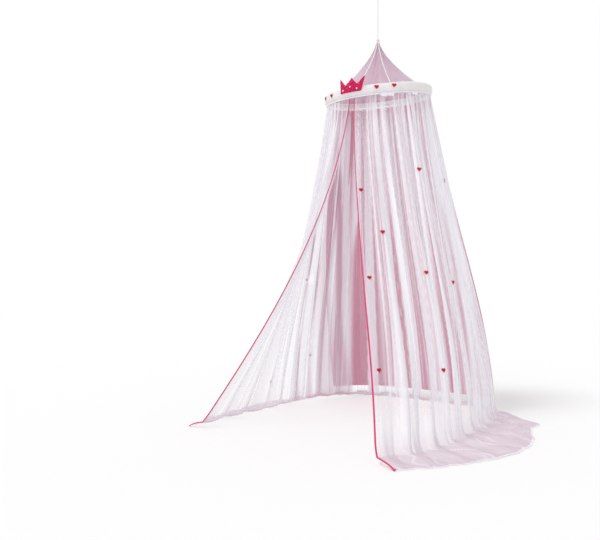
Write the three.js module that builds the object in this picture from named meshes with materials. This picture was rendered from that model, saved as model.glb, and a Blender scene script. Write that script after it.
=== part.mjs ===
// A bed crown canopy: a tilted hoop in a padded ivory band hangs on a cord from a ceiling hook,
// with a cone of sheer cloth above it and six widths of gathered net below it, open at the front.
// Millimetres, +Z up, -Y is the front. The origin is the middle of the ceiling plate's upper face.
import * as THREE from "three";

const { degToRad, lerp } = THREE.MathUtils;

// Overall sizes
const ceilingHeight = 2700;
const collarDrop = 355;
const ringDrop = 711;
const ringTilt = degToRad(8.7);
const clearance = 0.3;

// Ceiling plate, its screws, hook and nut
const plateRadius = 27;
const plateThickness = 4;
const screwSpacing = 36;
const screwShankRadius = 2.1;
const screwHeadRadius = 4.3;
const screwHeadHeight = 2.6;
const screwCrownShare = 0.6;
const screwLength = 26;
const screwTipLength = 5;
const hookWireRadius = 2.5;
const hookBendRadius = 12;
const hookShankDrop = 17;
const hookNeckShare = 0.35;
const nutFlats = 10;
const nutHeight = 4;

// Hanging cord with its loop and knots
const cordRadius = 3;
const loopLegDrop = 24;
const knotWrap = 1.7;
const knotWaistShare = 0.8;
const loopKnotHeight = 15;
const endKnotHeight = 12;
const knotRadius = 2 * cordRadius + clearance + knotWrap;

// Turned collar at the top of the roof
const collarWall = 3.2;
const collarBeadLip = 2.5;
const collarBeadHeight = 12;
const collarBeadTopShare = 0.75;
const collarNeckHeight = 14;
const collarFlangeLip = 1.3;
const collarFlangeHeight = 4;
const collarBore = cordRadius + clearance;
const collarNeckRadius = collarBore + collarWall;

// Hoop in its padded band
const bandRadius = 314;
const bandWidth = 34;
const bandHeight = 54;
const bandCorner = 10;
const bandSlit = 0.8;
const hoopTubeRadius = 4;
const hoopWall = 1.2;
const hoopPlay = 0.9;
const joinerLength = 40;
const ringFacets = 36;

// Roof: eight gores, a sheer white cover over a mauve lining that sags more between the seams
const roofCoverThickness = 1.2;
const roofLiningThickness = 1;
const roofHemDrop = 12;
const roofHollowPower = 1.43;
const roofSeatShare = 1 / 12;
const roofGap = 1.2;
const goreCount = 8;
const coverSag = 5;
const liningSag = 12;
const goreColumns = 4;
const roofRows = 7;

// Heading tape under the band, which carries the net and the voile
const tapeSetOut = 7;
const tapeThickness = 6;
const tapeHeight = 8;
const tapeRadius = bandRadius + tapeSetOut;

// Hanging net
const netThickness = 2;
const openingHalfAngle = degToRad(3.5);
const footCentreX = 17;
const footCentreY = -200;
const footHalfWidth = 635;
const footBackReach = 830;
const footFrontReach = 752;
const footSquareness = 3.5;
const footLeftAngle = degToRad(223.7);
const footRightAngle = degToRad(-55.8);
const flareShare = 0.89;
const leftFlareShare = 1.3;
const flareSharpness = 6;
const flareSweep = 0.2;
const leftSweep = 0.43;
const leftSwingShare = 0.16;
const leftRunShare = 0.2;
const swingRunShare = 0.1;
const rightSweep = 0.3;
const rightRunShare = 0.1;
const fallPower = 1.31;
const foldCount = 24;
const foldDepth = 30;
const foldRunShare = 0.15;
const foldDriftShare = 0.006;
const foldUnevenShare = 0.18;
const bendHeight = 36;
const floorLift = 3.6;
const hemRipple = 20;
const trainBase = 35;
const trainLeft = 200;
const trainRight = 289;
const trainPower = 2.75;
const trainLeanShare = 0.34;
const frontTrain = 60;
const cornerTrain = 177;
const cornerTrainAngle = degToRad(39.7);
const cornerTrainSpread = degToRad(6.3);
const trainFoldLoss = 0.8;
const panelNames = [
  "net_left_front",
  "net_left_side",
  "net_left_back",
  "net_right_back",
  "net_right_side",
  "net_right_front",
];
const panelColumns = 20;
const panelRows = 12;
const wallShare = 0.75;

// Pink binding on the two front edges
const bindingWidth = 11;
const bindingThickness = 6;

// Mauve voile outside the net, at the left side and the back: two widths, each with the shares of
// the way round the net where its two edges lie, at the tape and at its own hem
const voileThickness = 1.2;
const voileStandOff = 7;
const voileHemHeight = 80;
const voileEdgeShares = {
  voile_left: [[0.228, 0.32], [0.45, 0.49]],
  voile_back: [[0.45, 0.49], [0.66, 0.665]],
};
const voileFoldCount = 14;
const voileFoldDepth = 6;
const voileColumns = 18;
const voileRows = 9;

// Crown with its stones, and the hearts
const crownBottomWidth = 137;
const crownTopWidth = 164;
const crownHeight = 85;
const crownMiddleHeight = 82;
const crownNotchHeight = 42;
const crownNotchShare = 0.5;
const crownInnerPower = 0.8;
const crownOuterPower = 1.1;
const crownLean = 0.22;
const crownLift = 24;
const crownTurn = degToRad(3.2);
const crownRim = 3;
const crownPuff = 9;
const crownSideRise = 2.4;
const crownEndRise = 3;
const crownColumns = 24;
const crownRows = 6;
const stoneRadius = 5.5;
const stoneHeight = 4;
const stoneFacetShare = 0.6;
const stonePlaceShares = { left: [-0.62, 0.3], middle: [0, 0.36], right: [0.62, 0.3] };
const heartWidth = 26;
const heartThickness = 1.6;
const heartBevel = 0.9;
const bandHeartLift = 8;
const bandHeartAngles = [-45, -27.5, 27.5, 45].map((angle) => degToRad(angle));

const colours = {
  white: { color: 0xf4f3f1, roughness: 0.5, metalness: 0 },
  steel: { color: 0xd9dadb, roughness: 0.3, metalness: 0.9 },
  cord: { color: 0xf3f1ee, roughness: 0.9, metalness: 0 },
  ivory: { color: 0xe9e5dc, roughness: 0.6, metalness: 0 },
  mauve: { color: 0xb3768b, roughness: 0.85, metalness: 0 },
  net: { color: 0xf0ecf2, roughness: 0.9, metalness: 0 },
  pink: { color: 0xe03a82, roughness: 0.6, metalness: 0 },
  heart: { color: 0xb81546, roughness: 0.5, metalness: 0 },
  stone: { color: 0xf2f4f8, roughness: 0.05, metalness: 0 },
};

const canopy = new THREE.Group();

// Everything on the hoop is drawn flat about its middle and tips with this group
const ring = new THREE.Group();
ring.position.z = -ringDrop;
ring.rotation.x = ringTilt;
canopy.add(ring);

function addPiece(parent, name, colour, geometry) {
  const mesh = new THREE.Mesh(geometry, new THREE.MeshStandardMaterial(colours[colour]));
  mesh.name = name;
  parent.add(mesh);
  return mesh;
}

// A solid turned about Z from its outline of [radius, height] points
function turned(outline, segments, start = 0) {
  const points = outline.map(([radius, height]) => new THREE.Vector2(radius, height));
  return new THREE.LatheGeometry(points, segments, start).rotateX(Math.PI / 2);
}

function solidFrom(vertices, triangles) {
  const geometry = new THREE.BufferGeometry();
  const numbers = vertices.flatMap((vertex) => vertex.toArray());
  geometry.setAttribute("position", new THREE.Float32BufferAttribute(numbers, 3));
  geometry.setIndex(triangles);
  geometry.computeVertexNormals();
  return geometry;
}

// A closed solid through rings of points, with a fan over the first ring and the last
function lofted(rings) {
  const sides = rings[0].length;
  const triangles = [];
  for (let i = 0; i + 1 < rings.length; i++) {
    for (let j = 0; j < sides; j++) {
      const a = i * sides + j;
      const b = i * sides + ((j + 1) % sides);
      triangles.push(a, b, b + sides, a, b + sides, a + sides);
    }
  }
  const last = (rings.length - 1) * sides;
  for (let j = 1; j + 1 < sides; j++) {
    triangles.push(0, j + 1, j);
    triangles.push(last, last + j, last + j + 1);
  }
  return solidFrom(rings.flat(), triangles);
}

// A closed tube with a bore, through matching outer and inner rings of points
function boredLoft(outer, inner) {
  const sides = outer[0].length;
  const rounds = [...outer, ...[...inner].reverse()];
  const triangles = [];
  for (let i = 0; i < rounds.length; i++) {
    const next = (i + 1) % rounds.length;
    for (let j = 0; j < sides; j++) {
      const k = (j + 1) % sides;
      const [a, b] = [i * sides + j, i * sides + k];
      const [c, d] = [next * sides + k, next * sides + j];
      triangles.push(a, b, c, a, c, d);
    }
  }
  return solidFrom(rounds.flat(), triangles);
}

// A closed shell between two faces, each a function of (u, v) from 0 to 1, joined round the edges
function shellBetween(outerFace, innerFace, columns, rows) {
  const vertices = [];
  for (const face of [outerFace, innerFace]) {
    for (let i = 0; i <= rows; i++) {
      for (let j = 0; j <= columns; j++) vertices.push(face(j / columns, i / rows));
    }
  }
  const stride = columns + 1;
  const back = stride * (rows + 1);
  const triangles = [];
  for (let i = 0; i < rows; i++) {
    for (let j = 0; j < columns; j++) {
      const a = i * stride + j;
      triangles.push(a, a + 1, a + stride + 1, a, a + stride + 1, a + stride);
      const b = a + back;
      triangles.push(b, b + stride + 1, b + 1, b, b + stride, b + stride + 1);
    }
  }
  const rim = [];
  for (let j = 0; j < columns; j++) rim.push(j);
  for (let i = 0; i < rows; i++) rim.push(i * stride + columns);
  for (let j = columns; j > 0; j--) rim.push(rows * stride + j);
  for (let i = rows; i > 0; i--) rim.push(i * stride);
  rim.forEach((a, place) => {
    const b = rim[(place + 1) % rim.length];
    triangles.push(b, a, a + back, b, a + back, b + back);
  });
  return solidFrom(vertices, triangles);
}

// A sheet of even thickness about surface(u, v), which gives a point and the outward normal
function sheetSolid(surface, columns, rows, thickness) {
  const face = (side) => (u, v) => {
    const { point, normal } = surface(u, v);
    return point.clone().addScaledVector(normal, (side * thickness) / 2);
  };
  return shellBetween(face(1), face(-1), columns, rows);
}

// Ceiling plate: a disc with two screw holes and a middle hole for the hook's thread
function makePlate() {
  const outline = new THREE.Shape().absarc(0, 0, plateRadius, 0, 2 * Math.PI);
  const holes = [
    [-screwSpacing / 2, screwShankRadius],
    [screwSpacing / 2, screwShankRadius],
    [0, hookWireRadius],
  ];
  for (const [x, radius] of holes) {
    outline.holes.push(new THREE.Path().absarc(x, 0, radius + clearance, 0, 2 * Math.PI, true));
  }
  const options = { depth: plateThickness, bevelEnabled: false, curveSegments: 12 };
  const plate = addPiece(canopy, "ceiling_plate", "white", new THREE.ExtrudeGeometry(outline, options));
  plate.position.z = -plateThickness;
}

// Pan-head screws come up through the plate, with their tips in the ceiling
function makeScrews() {
  const head = -plateThickness - clearance;
  const tip = screwLength - plateThickness;
  const outline = [
    [0, head - screwHeadHeight],
    [screwHeadRadius * screwCrownShare, head - screwHeadHeight],
    [screwHeadRadius, head - screwHeadHeight / 2],
    [screwHeadRadius, head],
    [screwShankRadius, head],
    [screwShankRadius, tip - screwTipLength],
    [0, tip],
  ];
  for (const [name, side] of [["left", -1], ["right", 1]]) {
    const screw = addPiece(canopy, `ceiling_screw_${name}`, "steel", turned(outline, 12));
    screw.position.x = (side * screwSpacing) / 2;
  }
}

// The hook's wire goes up through nut and plate; its bend is lowest straight under the thread
const hookCentreZ = -hookShankDrop - hookBendRadius;
const hookSeatZ = hookCentreZ - hookBendRadius;

function makeHook() {
  const onBend = (angle) => new THREE.Vector3(
    hookBendRadius * Math.cos(angle), 0, hookCentreZ + hookBendRadius * Math.sin(angle));
  const threadEnd = plateThickness + nutHeight + 3 * clearance;
  const levels = [clearance, threadEnd, lerp(threadEnd, hookShankDrop, hookNeckShare)];
  const points = levels.map((level) => new THREE.Vector3(0, 0, -level));
  for (let angle = 135; angle <= 390; angle += 30) points.push(onBend(degToRad(angle)));
  const section = new THREE.Shape().absarc(0, 0, hookWireRadius, 0, 2 * Math.PI);
  const route = new THREE.CatmullRomCurve3(points);
  const options = { steps: 26, extrudePath: route, curveSegments: 4, bevelEnabled: false };
  addPiece(canopy, "ceiling_hook", "steel", new THREE.ExtrudeGeometry(section, options));

  const hexagon = new THREE.Shape();
  for (let side = 0; side < 6; side++) {
    const reach = nutFlats / 2 / Math.cos(Math.PI / 6);
    const angle = (side * Math.PI) / 3;
    const place = [reach * Math.cos(angle), reach * Math.sin(angle)];
    if (side === 0) hexagon.moveTo(...place);
    else hexagon.lineTo(...place);
  }
  hexagon.closePath();
  hexagon.holes.push(new THREE.Path().absarc(0, 0, hookWireRadius + clearance, 0, 2 * Math.PI, true));
  const nutShape = { depth: nutHeight, bevelEnabled: false, curveSegments: 6 };
  const nut = addPiece(canopy, "hook_nut", "steel", new THREE.ExtrudeGeometry(hexagon, nutShape));
  nut.position.z = -plateThickness - clearance - nutHeight;
}

// The cord's loop goes over the hook's bend and down into a knot
const loopKnotTop = hookSeatZ - loopLegDrop;
const loopKnotBottom = loopKnotTop - loopKnotHeight;

function makeLoop() {
  const spread = hookWireRadius + cordRadius + clearance;
  const legGap = cordRadius + clearance;
  const points = [
    new THREE.Vector3(0, -legGap, loopKnotTop + clearance),
    new THREE.Vector3(0, -legGap, loopKnotTop + cordRadius),
    new THREE.Vector3(0, -spread, hookSeatZ - cordRadius),
  ];
  for (let angle = 180; angle >= 0; angle -= 30) {
    const turn = degToRad(angle);
    points.push(new THREE.Vector3(0, spread * Math.cos(turn), hookSeatZ + spread * Math.sin(turn)));
  }
  points.push(new THREE.Vector3(0, spread, hookSeatZ - cordRadius));
  points.push(new THREE.Vector3(0, legGap, loopKnotTop + cordRadius));
  points.push(new THREE.Vector3(0, legGap, loopKnotTop + clearance));
  const section = new THREE.Shape().absarc(0, 0, cordRadius, 0, 2 * Math.PI);
  const route = new THREE.CatmullRomCurve3(points);
  const options = { steps: 26, extrudePath: route, curveSegments: 4, bevelEnabled: false };
  addPiece(canopy, "hanging_loop", "cord", new THREE.ExtrudeGeometry(section, options));
  addPiece(canopy, "loop_knot", "cord", knot(loopKnotBottom, loopKnotHeight));
}

// A wound knot: three rounded wraps between flat ends
function knot(bottom, height) {
  const wraps = 3;
  const waist = knotRadius * knotWaistShare;
  const outline = [[0, bottom], [waist, bottom]];
  for (let wrap = 0; wrap < wraps; wrap++) {
    outline.push([knotRadius, bottom + ((wrap + 0.5) * height) / wraps]);
    outline.push([waist, bottom + ((wrap + 1) * height) / wraps]);
  }
  outline.push([0, bottom + height]);
  return turned(outline, 12);
}

// Collar levels, from the bead down to the flange inside the roof
const neckTop = -collarDrop - collarBeadHeight;
const neckBottom = neckTop - collarNeckHeight;
const collarBottom = neckBottom - collarFlangeHeight;

function makeCordAndCollar() {
  const beadRadius = collarNeckRadius + collarBeadLip;
  const flangeRadius = collarNeckRadius + collarFlangeLip;
  const cordTop = loopKnotBottom - clearance;
  const cordBottom = collarBottom - clearance;
  const cordShape = new THREE.CylinderGeometry(cordRadius, cordRadius, cordTop - cordBottom, 10);
  const cord = addPiece(canopy, "hanging_cord", "cord", cordShape.rotateX(Math.PI / 2));
  cord.position.z = (cordTop + cordBottom) / 2;
  const outline = [
    [collarBore, collarBottom],
    [flangeRadius, collarBottom],
    [flangeRadius, neckBottom],
    [collarNeckRadius, neckBottom],
    [collarNeckRadius, neckTop],
    [beadRadius, neckTop],
    [beadRadius, -collarDrop - collarBeadHeight / 3],
    [beadRadius * collarBeadTopShare, -collarDrop],
    [collarBore, -collarDrop],
    [collarBore, collarBottom],
  ];
  addPiece(canopy, "roof_collar", "ivory", turned(outline, 16));
  const knotTop = cordBottom - clearance;
  addPiece(canopy, "cord_end_knot", "cord", knot(knotTop - endKnotHeight, endKnotHeight));
}

// Padded band: rounded outside, with a channel for the hoop and the slit where it is closed
function makeBand() {
  const [inner, outer] = [bandRadius - bandWidth / 2, bandRadius + bandWidth / 2];
  const top = bandHeight / 2;
  const outline = [[inner, bandSlit / 2]];
  const corner = (radius, height, from) => {
    for (let step = 0; step <= 2; step++) {
      const angle = degToRad(from - step * 45);
      outline.push([radius + bandCorner * Math.cos(angle), height + bandCorner * Math.sin(angle)]);
    }
  };
  corner(inner + bandCorner, top - bandCorner, 180);
  corner(outer - bandCorner, top - bandCorner, 90);
  corner(outer - bandCorner, bandCorner - top, 0);
  corner(inner + bandCorner, bandCorner - top, -90);
  outline.push([inner, -bandSlit / 2]);
  const channel = hoopTubeRadius + hoopPlay;
  const half = Math.asin(bandSlit / 2 / channel);
  for (let side = 0; side <= 8; side++) {
    const angle = lerp(-Math.PI + half, Math.PI - half, side / 8);
    outline.push([bandRadius + channel * Math.cos(angle), channel * Math.sin(angle)]);
  }
  outline.push([inner, bandSlit / 2]);
  const facet = (2 * Math.PI) / ringFacets;
  addPiece(ring, "ring_band", "ivory", turned(outline.reverse(), ringFacets, facet / 2));
}

// Two half hoops of tube, butted at the front and the back over a plain joiner pin
function makeHoop() {
  const hoopBoreRadius = hoopTubeRadius - hoopWall;
  const facet = (2 * Math.PI) / ringFacets;
  const flat = bandRadius * Math.cos(facet / 2);
  const section = (centre, tangent, radius) => {
    const outward = new THREE.Vector3(centre.x, centre.y, 0).normalize();
    const up = new THREE.Vector3(0, 0, 1);
    const across = new THREE.Vector3().crossVectors(up, tangent).normalize();
    const stretch = 1 / Math.abs(across.dot(outward));
    const points = [];
    for (let side = 0; side < 8; side++) {
      const angle = (side * Math.PI) / 4;
      points.push(centre.clone()
        .addScaledVector(outward, radius * Math.cos(angle) * stretch)
        .addScaledVector(up, radius * Math.sin(angle)));
    }
    return points;
  };
  for (const [name, side] of [["left", -1], ["right", 1]]) {
    const centres = [new THREE.Vector3(side * clearance, -flat, 0)];
    for (let step = 0.5; step < ringFacets / 2; step++) {
      const angle = -Math.PI / 2 + side * step * facet;
      centres.push(new THREE.Vector3(bandRadius * Math.cos(angle), bandRadius * Math.sin(angle), 0));
    }
    centres.push(new THREE.Vector3(side * clearance, flat, 0));
    const rings = (radius) => centres.map((centre) => {
      const tangent = new THREE.Vector3(-centre.y, centre.x, 0).normalize().multiplyScalar(side);
      const rim = section(centre, tangent, radius);
      return side > 0 ? rim.reverse() : rim;
    });
    addPiece(ring, `hoop_${name}`, "steel", boredLoft(rings(hoopTubeRadius), rings(hoopBoreRadius)));
  }
  const pinRadius = hoopBoreRadius * Math.cos(Math.PI / 8) - clearance;
  for (const [name, side] of [["front", -1], ["back", 1]]) {
    const pin = new THREE.CylinderGeometry(pinRadius, pinRadius, joinerLength, 8).rotateZ(Math.PI / 2);
    addPiece(ring, `hoop_joiner_${name}`, "steel", pin).position.y = side * flat;
  }
}

function ringPoint(angle, radius, height) {
  return new THREE.Vector3(radius * Math.cos(angle), radius * Math.sin(angle), height)
    .applyEuler(ring.rotation)
    .add(ring.position);
}

// One layer of the roof, from the collar's neck out to the inside of the band
function roofSurface(topRadius, hemRadius, sag) {
  return (around, down) => {
    const angle = -2 * Math.PI * around;
    const radial = new THREE.Vector3(Math.cos(angle), Math.sin(angle), 0);
    const hem = ringPoint(angle, hemRadius, -roofHemDrop);
    const spread = down ** roofHollowPower;
    const between = Math.sin((goreCount * angle) / 2) ** 2;
    const drop = sag * between * Math.sin(Math.PI * down);
    const start = radial.clone().multiplyScalar(topRadius).setZ((neckTop + neckBottom) / 2);
    const point = new THREE.Vector3(
      lerp(start.x, hem.x, spread),
      lerp(start.y, hem.y, spread),
      lerp(start.z, hem.z, down),
    );
    point.addScaledVector(radial, -drop);
    const lean = roofHollowPower * down ** (roofHollowPower - 1) * hemRadius;
    const fall = start.z - hem.z;
    const normal = radial.clone().multiplyScalar(fall).setZ(lean).normalize();
    const upright = radial.clone().applyEuler(ring.rotation);
    const toEdge = Math.min(down, 1 - down);
    const seated = Math.max(0, 1 - toEdge / roofSeatShare);
    normal.lerp(down > 0.5 ? upright : radial, seated).normalize();
    return { point, normal };
  };
}

function makeRoof() {
  const innerFace = (bandRadius - bandWidth / 2) * Math.cos(Math.PI / ringFacets);
  const coverHem = innerFace - clearance - roofCoverThickness / 2;
  const layerStep = (roofCoverThickness + roofLiningThickness) / 2 + roofGap;
  const liningHem = coverHem - layerStep - 2 * clearance;
  const neck = collarNeckRadius + clearance;
  const liningTop = neck + roofLiningThickness / 2;
  const coverTop = liningTop + layerStep;
  const layers = [
    ["roof_cover", "net", roofSurface(coverTop, coverHem, coverSag), roofCoverThickness],
    ["roof_lining", "mauve", roofSurface(liningTop, liningHem, liningSag), roofLiningThickness],
  ];
  for (const [name, colour, surface, thickness] of layers) {
    addPiece(canopy, name, colour, roundSheet(surface, goreColumns * goreCount, roofRows, thickness));
  }
}

// As sheetSolid, for a surface that closes on itself round the canopy
function roundSheet(surface, columns, rows, thickness) {
  const outer = [];
  const inner = [];
  for (let i = 0; i <= rows; i++) {
    const places = Array.from({ length: columns }, (_, j) => surface(j / columns, i / rows));
    outer.push(places.map(({ point, normal }) => point.clone().addScaledVector(normal, thickness / 2)));
    inner.push(places.map(({ point, normal }) => point.clone().addScaledVector(normal, -thickness / 2)));
  }
  return boredLoft(outer, inner);
}

// Heading tape, sewn along under the band
const tapeTop = -bandHeight / 2 - clearance;
const tapeBottom = tapeTop - tapeHeight;

function makeTape() {
  const [inner, outer] = [tapeRadius - tapeThickness / 2, tapeRadius + tapeThickness / 2];
  const outline = [
    [inner, tapeBottom],
    [outer, tapeBottom],
    [outer, tapeTop],
    [inner, tapeTop],
    [inner, tapeBottom],
  ];
  addPiece(ring, "heading_tape", "ivory", turned(outline, ringFacets, Math.PI / ringFacets));
}

// Where the net goes: from across 0, the left front edge, round the back to 1, the right front
// edge, and from down 0, under the tape, to 1, the hem at the end of the train.
function placeOnNet(across, down) {
  const ringAngle = lerp(1.5 * Math.PI - openingHalfAngle, openingHalfAngle - Math.PI / 2, across);
  const footAngle = lerp(footLeftAngle, footRightAngle, across);
  const [cos, sin] = [Math.cos(footAngle), Math.sin(footAngle)];
  const reach = sin > 0 ? footBackReach : footFrontReach;
  const square = footSquareness;
  const leftness = Math.max(0, 1 - across / leftRunShare);
  const rightness = Math.max(0, 1 - (1 - across) / rightRunShare);
  const swing = 1 + leftSwingShare * Math.max(0, 1 - across / swingRunShare);
  const corner = (Math.abs(cos) / footHalfWidth) ** square + (Math.abs(sin) / reach) ** square;
  const radius = swing * corner ** (-1 / square);
  const foot = new THREE.Vector2(footCentreX + radius * cos, footCentreY + radius * sin);
  const steep = new THREE.Vector2(
    (Math.sign(cos) * (Math.abs(radius * cos) / footHalfWidth) ** (square - 1)) / footHalfWidth,
    (Math.sign(sin) * (Math.abs(radius * sin) / reach) ** (square - 1)) / reach,
  ).normalize();
  const sideways = Math.abs(cos) ** trainPower;
  const atCorner = Math.exp(-(((footAngle - cornerTrainAngle) / cornerTrainSpread) ** 2));
  const ends = cornerTrain * atCorner + frontTrain * rightness ** 2;
  const train = trainBase + sideways * (cos < 0 ? trainLeft : trainRight) + ends;
  const away = new THREE.Vector2(cos, trainLeanShare * sin).normalize();
  return { ringAngle, foot, steep, train, away, leftness, rightness };
}

function flare(fall, leftness, rightness) {
  const full = lerp(flareShare, leftFlareShare, leftness);
  const power = 1 + flareSweep + leftSweep * leftness + rightSweep * rightness;
  const ease = (share) => {
    const grown = (share / full) ** power;
    return grown / (1 + grown ** flareSharpness) ** (1 / flareSharpness);
  };
  return ease(fall) / ease(1);
}

function foldWave(across) {
  const drift = foldDriftShare * Math.sin(6 * Math.PI * across + 0.7);
  return Math.cos(2 * Math.PI * foldCount * (across + drift));
}

function foldReach(across, fall) {
  const uneven = foldUnevenShare * (1 - Math.sin(14 * Math.PI * across + 1.1));
  return foldDepth * (1 - uneven) * (1 - Math.exp(-fall / foldRunShare));
}

function netPoint(across, down, standOff = () => 0) {
  const { ringAngle, foot, steep, train, away, leftness, rightness } = placeOnNet(across, down);
  const fall = Math.min(1, down / wallShare) ** fallPower;
  const top = ringPoint(ringAngle, tapeRadius - tapeThickness / 4, tapeBottom - clearance);
  const spread = flare(fall, leftness, rightness);
  const out = new THREE.Vector2(Math.cos(ringAngle), Math.sin(ringAngle)).lerp(steep, spread).normalize();
  const wave = foldWave(across);
  const along = Math.max(0, (down - wallShare) / (1 - wallShare));
  const stand = wave * foldReach(across, fall) * (1 - trainFoldLoss * along) + standOff(fall);
  const point = new THREE.Vector3(
    lerp(top.x, foot.x, spread) + out.x * stand,
    lerp(top.y, foot.y, spread) + out.y * stand,
    lerp(top.z, bendHeight - ceilingHeight, fall),
  );
  if (along > 0) {
    const settle = (1 - along) ** 3;
    const rise = hemRipple * (0.5 + wave / 2) * 4 * along * (1 - along);
    point.x += away.x * train * along;
    point.y += away.y * train * along;
    point.z = floorLift - ceilingHeight + (bendHeight - floorLift) * settle + rise;
  }
  return point;
}

// The net's middle surface with its outward normal, level with the tape at the very top
function netSurface(across, down) {
  const step = 1e-4;
  const point = netPoint(across, down);
  const [u0, u1] = [Math.max(0, across - step), Math.min(1, across + step)];
  const [v0, v1] = [Math.max(0, down - step), Math.min(1, down + step)];
  const along = netPoint(u1, down).sub(netPoint(u0, down));
  const downward = netPoint(across, v1).sub(netPoint(across, v0));
  const { ringAngle } = placeOnNet(across, down);
  const normal = down > 0
    ? new THREE.Vector3().crossVectors(along, downward).normalize()
    : new THREE.Vector3(Math.cos(ringAngle), Math.sin(ringAngle), 0).applyEuler(ring.rotation);
  return { point, normal, along: along.normalize(), downward: downward.normalize() };
}

const seamShare = clearance / ((2 * Math.PI - 2 * openingHalfAngle) * tapeRadius);

function panelAcross(place, u) {
  const count = panelNames.length;
  const start = place / count + (place > 0 ? seamShare : 0);
  const end = (place + 1) / count - (place + 1 < count ? seamShare : 0);
  return lerp(start, end, u);
}

function makeNet() {
  panelNames.forEach((name, place) => {
    const surface = (u, v) => netSurface(panelAcross(place, u), v);
    addPiece(canopy, name, "net", sheetSolid(surface, panelColumns, panelRows, netThickness));
  });
}

// The point on a fold's ridge nearest to a place on the net, with the mean normal of its two sides
function ridgeNear(across, down) {
  const place = Math.min(panelNames.length - 1, Math.floor(across * panelNames.length));
  const near = Math.round((across * panelNames.length - place) * panelColumns);
  const waveAt = (column) => foldWave(panelAcross(place, column / panelColumns));
  let ridge = Math.min(panelColumns - 1, Math.max(1, near));
  for (let column = Math.max(1, near - 2); column <= Math.min(panelColumns - 1, near + 2); column++) {
    if (waveAt(column) > waveAt(ridge)) ridge = column;
  }
  const row = Math.floor(down * panelRows);
  const outside = (column, level) => {
    const { point, normal } = netSurface(panelAcross(place, column / panelColumns), level / panelRows);
    return point.addScaledVector(normal, netThickness / 2);
  };
  const [before, on, after] = [-1, 0, 1].map((side) =>
    outside(ridge + side, row).lerp(outside(ridge + side, row + 1), down * panelRows - row));
  const downward = outside(ridge, row + 1).sub(outside(ridge, row));
  const normal = new THREE.Vector3();
  for (const [from, to] of [[before, on], [on, after]]) {
    const step = to.clone().sub(from);
    normal.add(new THREE.Vector3().crossVectors(step, downward).normalize());
  }
  return { point: on, normal: normal.normalize() };
}

// Folded binding along each front edge of the net, from the tape down to the hem
function makeBindings() {
  for (const [name, across, side] of [["left", 0, -1], ["right", 1, 1]]) {
    const rings = [];
    for (let i = 0; i <= panelRows; i++) {
      const { point, normal, downward } = netSurface(across, i / panelRows);
      const sideways = new THREE.Vector3().crossVectors(downward, normal).normalize().multiplyScalar(side);
      const middle = point.clone().addScaledVector(sideways, bindingWidth / 2 + clearance);
      const rim = [];
      for (let j = 0; j < 8; j++) {
        const angle = ((j + 0.5) * Math.PI) / 4;
        rim.push(middle.clone()
          .addScaledVector(sideways, (bindingWidth / 2) * Math.cos(angle))
          .addScaledVector(normal, (bindingThickness / 2) * Math.sin(angle)));
      }
      rings.push(side < 0 ? rim : rim.reverse());
    }
    addPiece(canopy, `edge_binding_${name}`, "pink", lofted(rings));
  }
}

// Voile: hangs from the tape's outer half, clear of the net's folds, and ends above the train
function makeVoile() {
  for (const [name, [start, end]] of Object.entries(voileEdgeShares)) {
    const surface = (u, v) => {
      const across = lerp(lerp(...start, v) + seamShare, lerp(...end, v) - seamShare, u);
      const fallen = 1 - (voileHemHeight - bendHeight) / (ceilingHeight - ringDrop);
      const lowest = fallen ** (1 / fallPower);
      const point = voilePoint(across, v * wallShare * lowest);
      const { ringAngle } = placeOnNet(across, 0);
      const normal = new THREE.Vector3(Math.cos(ringAngle), Math.sin(ringAngle), 0);
      if (v === 0) normal.applyEuler(ring.rotation);
      return { point, normal };
    };
    addPiece(canopy, name, "mauve", sheetSolid(surface, voileColumns, voileRows, voileThickness));
  }
}

function voilePoint(across, down) {
  const seat = tapeThickness / 4 + (tapeThickness / 2 - voileThickness) / 2;
  const standOff = (fall) => {
    const grown = 1 - Math.exp(-fall / foldRunShare);
    const wave = 0.5 + 0.5 * Math.cos(2 * Math.PI * voileFoldCount * across);
    const clear = foldDepth + voileStandOff + voileFoldDepth * wave;
    return seat + clear * grown - foldWave(across) * foldReach(across, fall);
  };
  return netPoint(across, down, standOff);
}

// Crown: a puffed piece of three points, wider at the top, bent round the front of the band
const crownBack = bandRadius + bandWidth / 2 + clearance;

function crownTop(across) {
  const inner = Math.abs(across) / crownNotchShare;
  if (inner < 1) return lerp(crownMiddleHeight, crownNotchHeight, inner ** crownInnerPower);
  const outer = (Math.abs(across) - crownNotchShare) / (1 - crownNotchShare);
  return lerp(crownNotchHeight, crownHeight, outer ** crownOuterPower);
}

function crownPlace(across, up, depth) {
  const height = up * crownTop(across);
  const halfWidth = lerp(crownBottomWidth, crownTopWidth, height / crownHeight) / 2;
  const lean = (crownLean * (height - crownHeight)) / crownBack;
  const angle = crownTurn - Math.PI / 2 + (across * halfWidth) / crownBack + lean;
  const radius = crownBack + depth;
  const level = height + crownLift - bandHeight / 2;
  return new THREE.Vector3(radius * Math.cos(angle), radius * Math.sin(angle), level);
}

function crownPuffAt(across, up) {
  const toSide = crownSideRise * (1 - Math.abs(across));
  const edge = Math.min(1, toSide, crownEndRise * up, crownEndRise * (1 - up));
  return crownRim + crownPuff * Math.sqrt(Math.max(0, 1 - (1 - edge) ** 2));
}

function makeCrown() {
  const front = (u, v) => crownPlace(2 * u - 1, v, crownPuffAt(2 * u - 1, v));
  const rear = (u, v) => crownPlace(2 * u - 1, v, 0);
  addPiece(ring, "crown", "pink", shellBetween(front, rear, crownColumns, crownRows));
}

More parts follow.
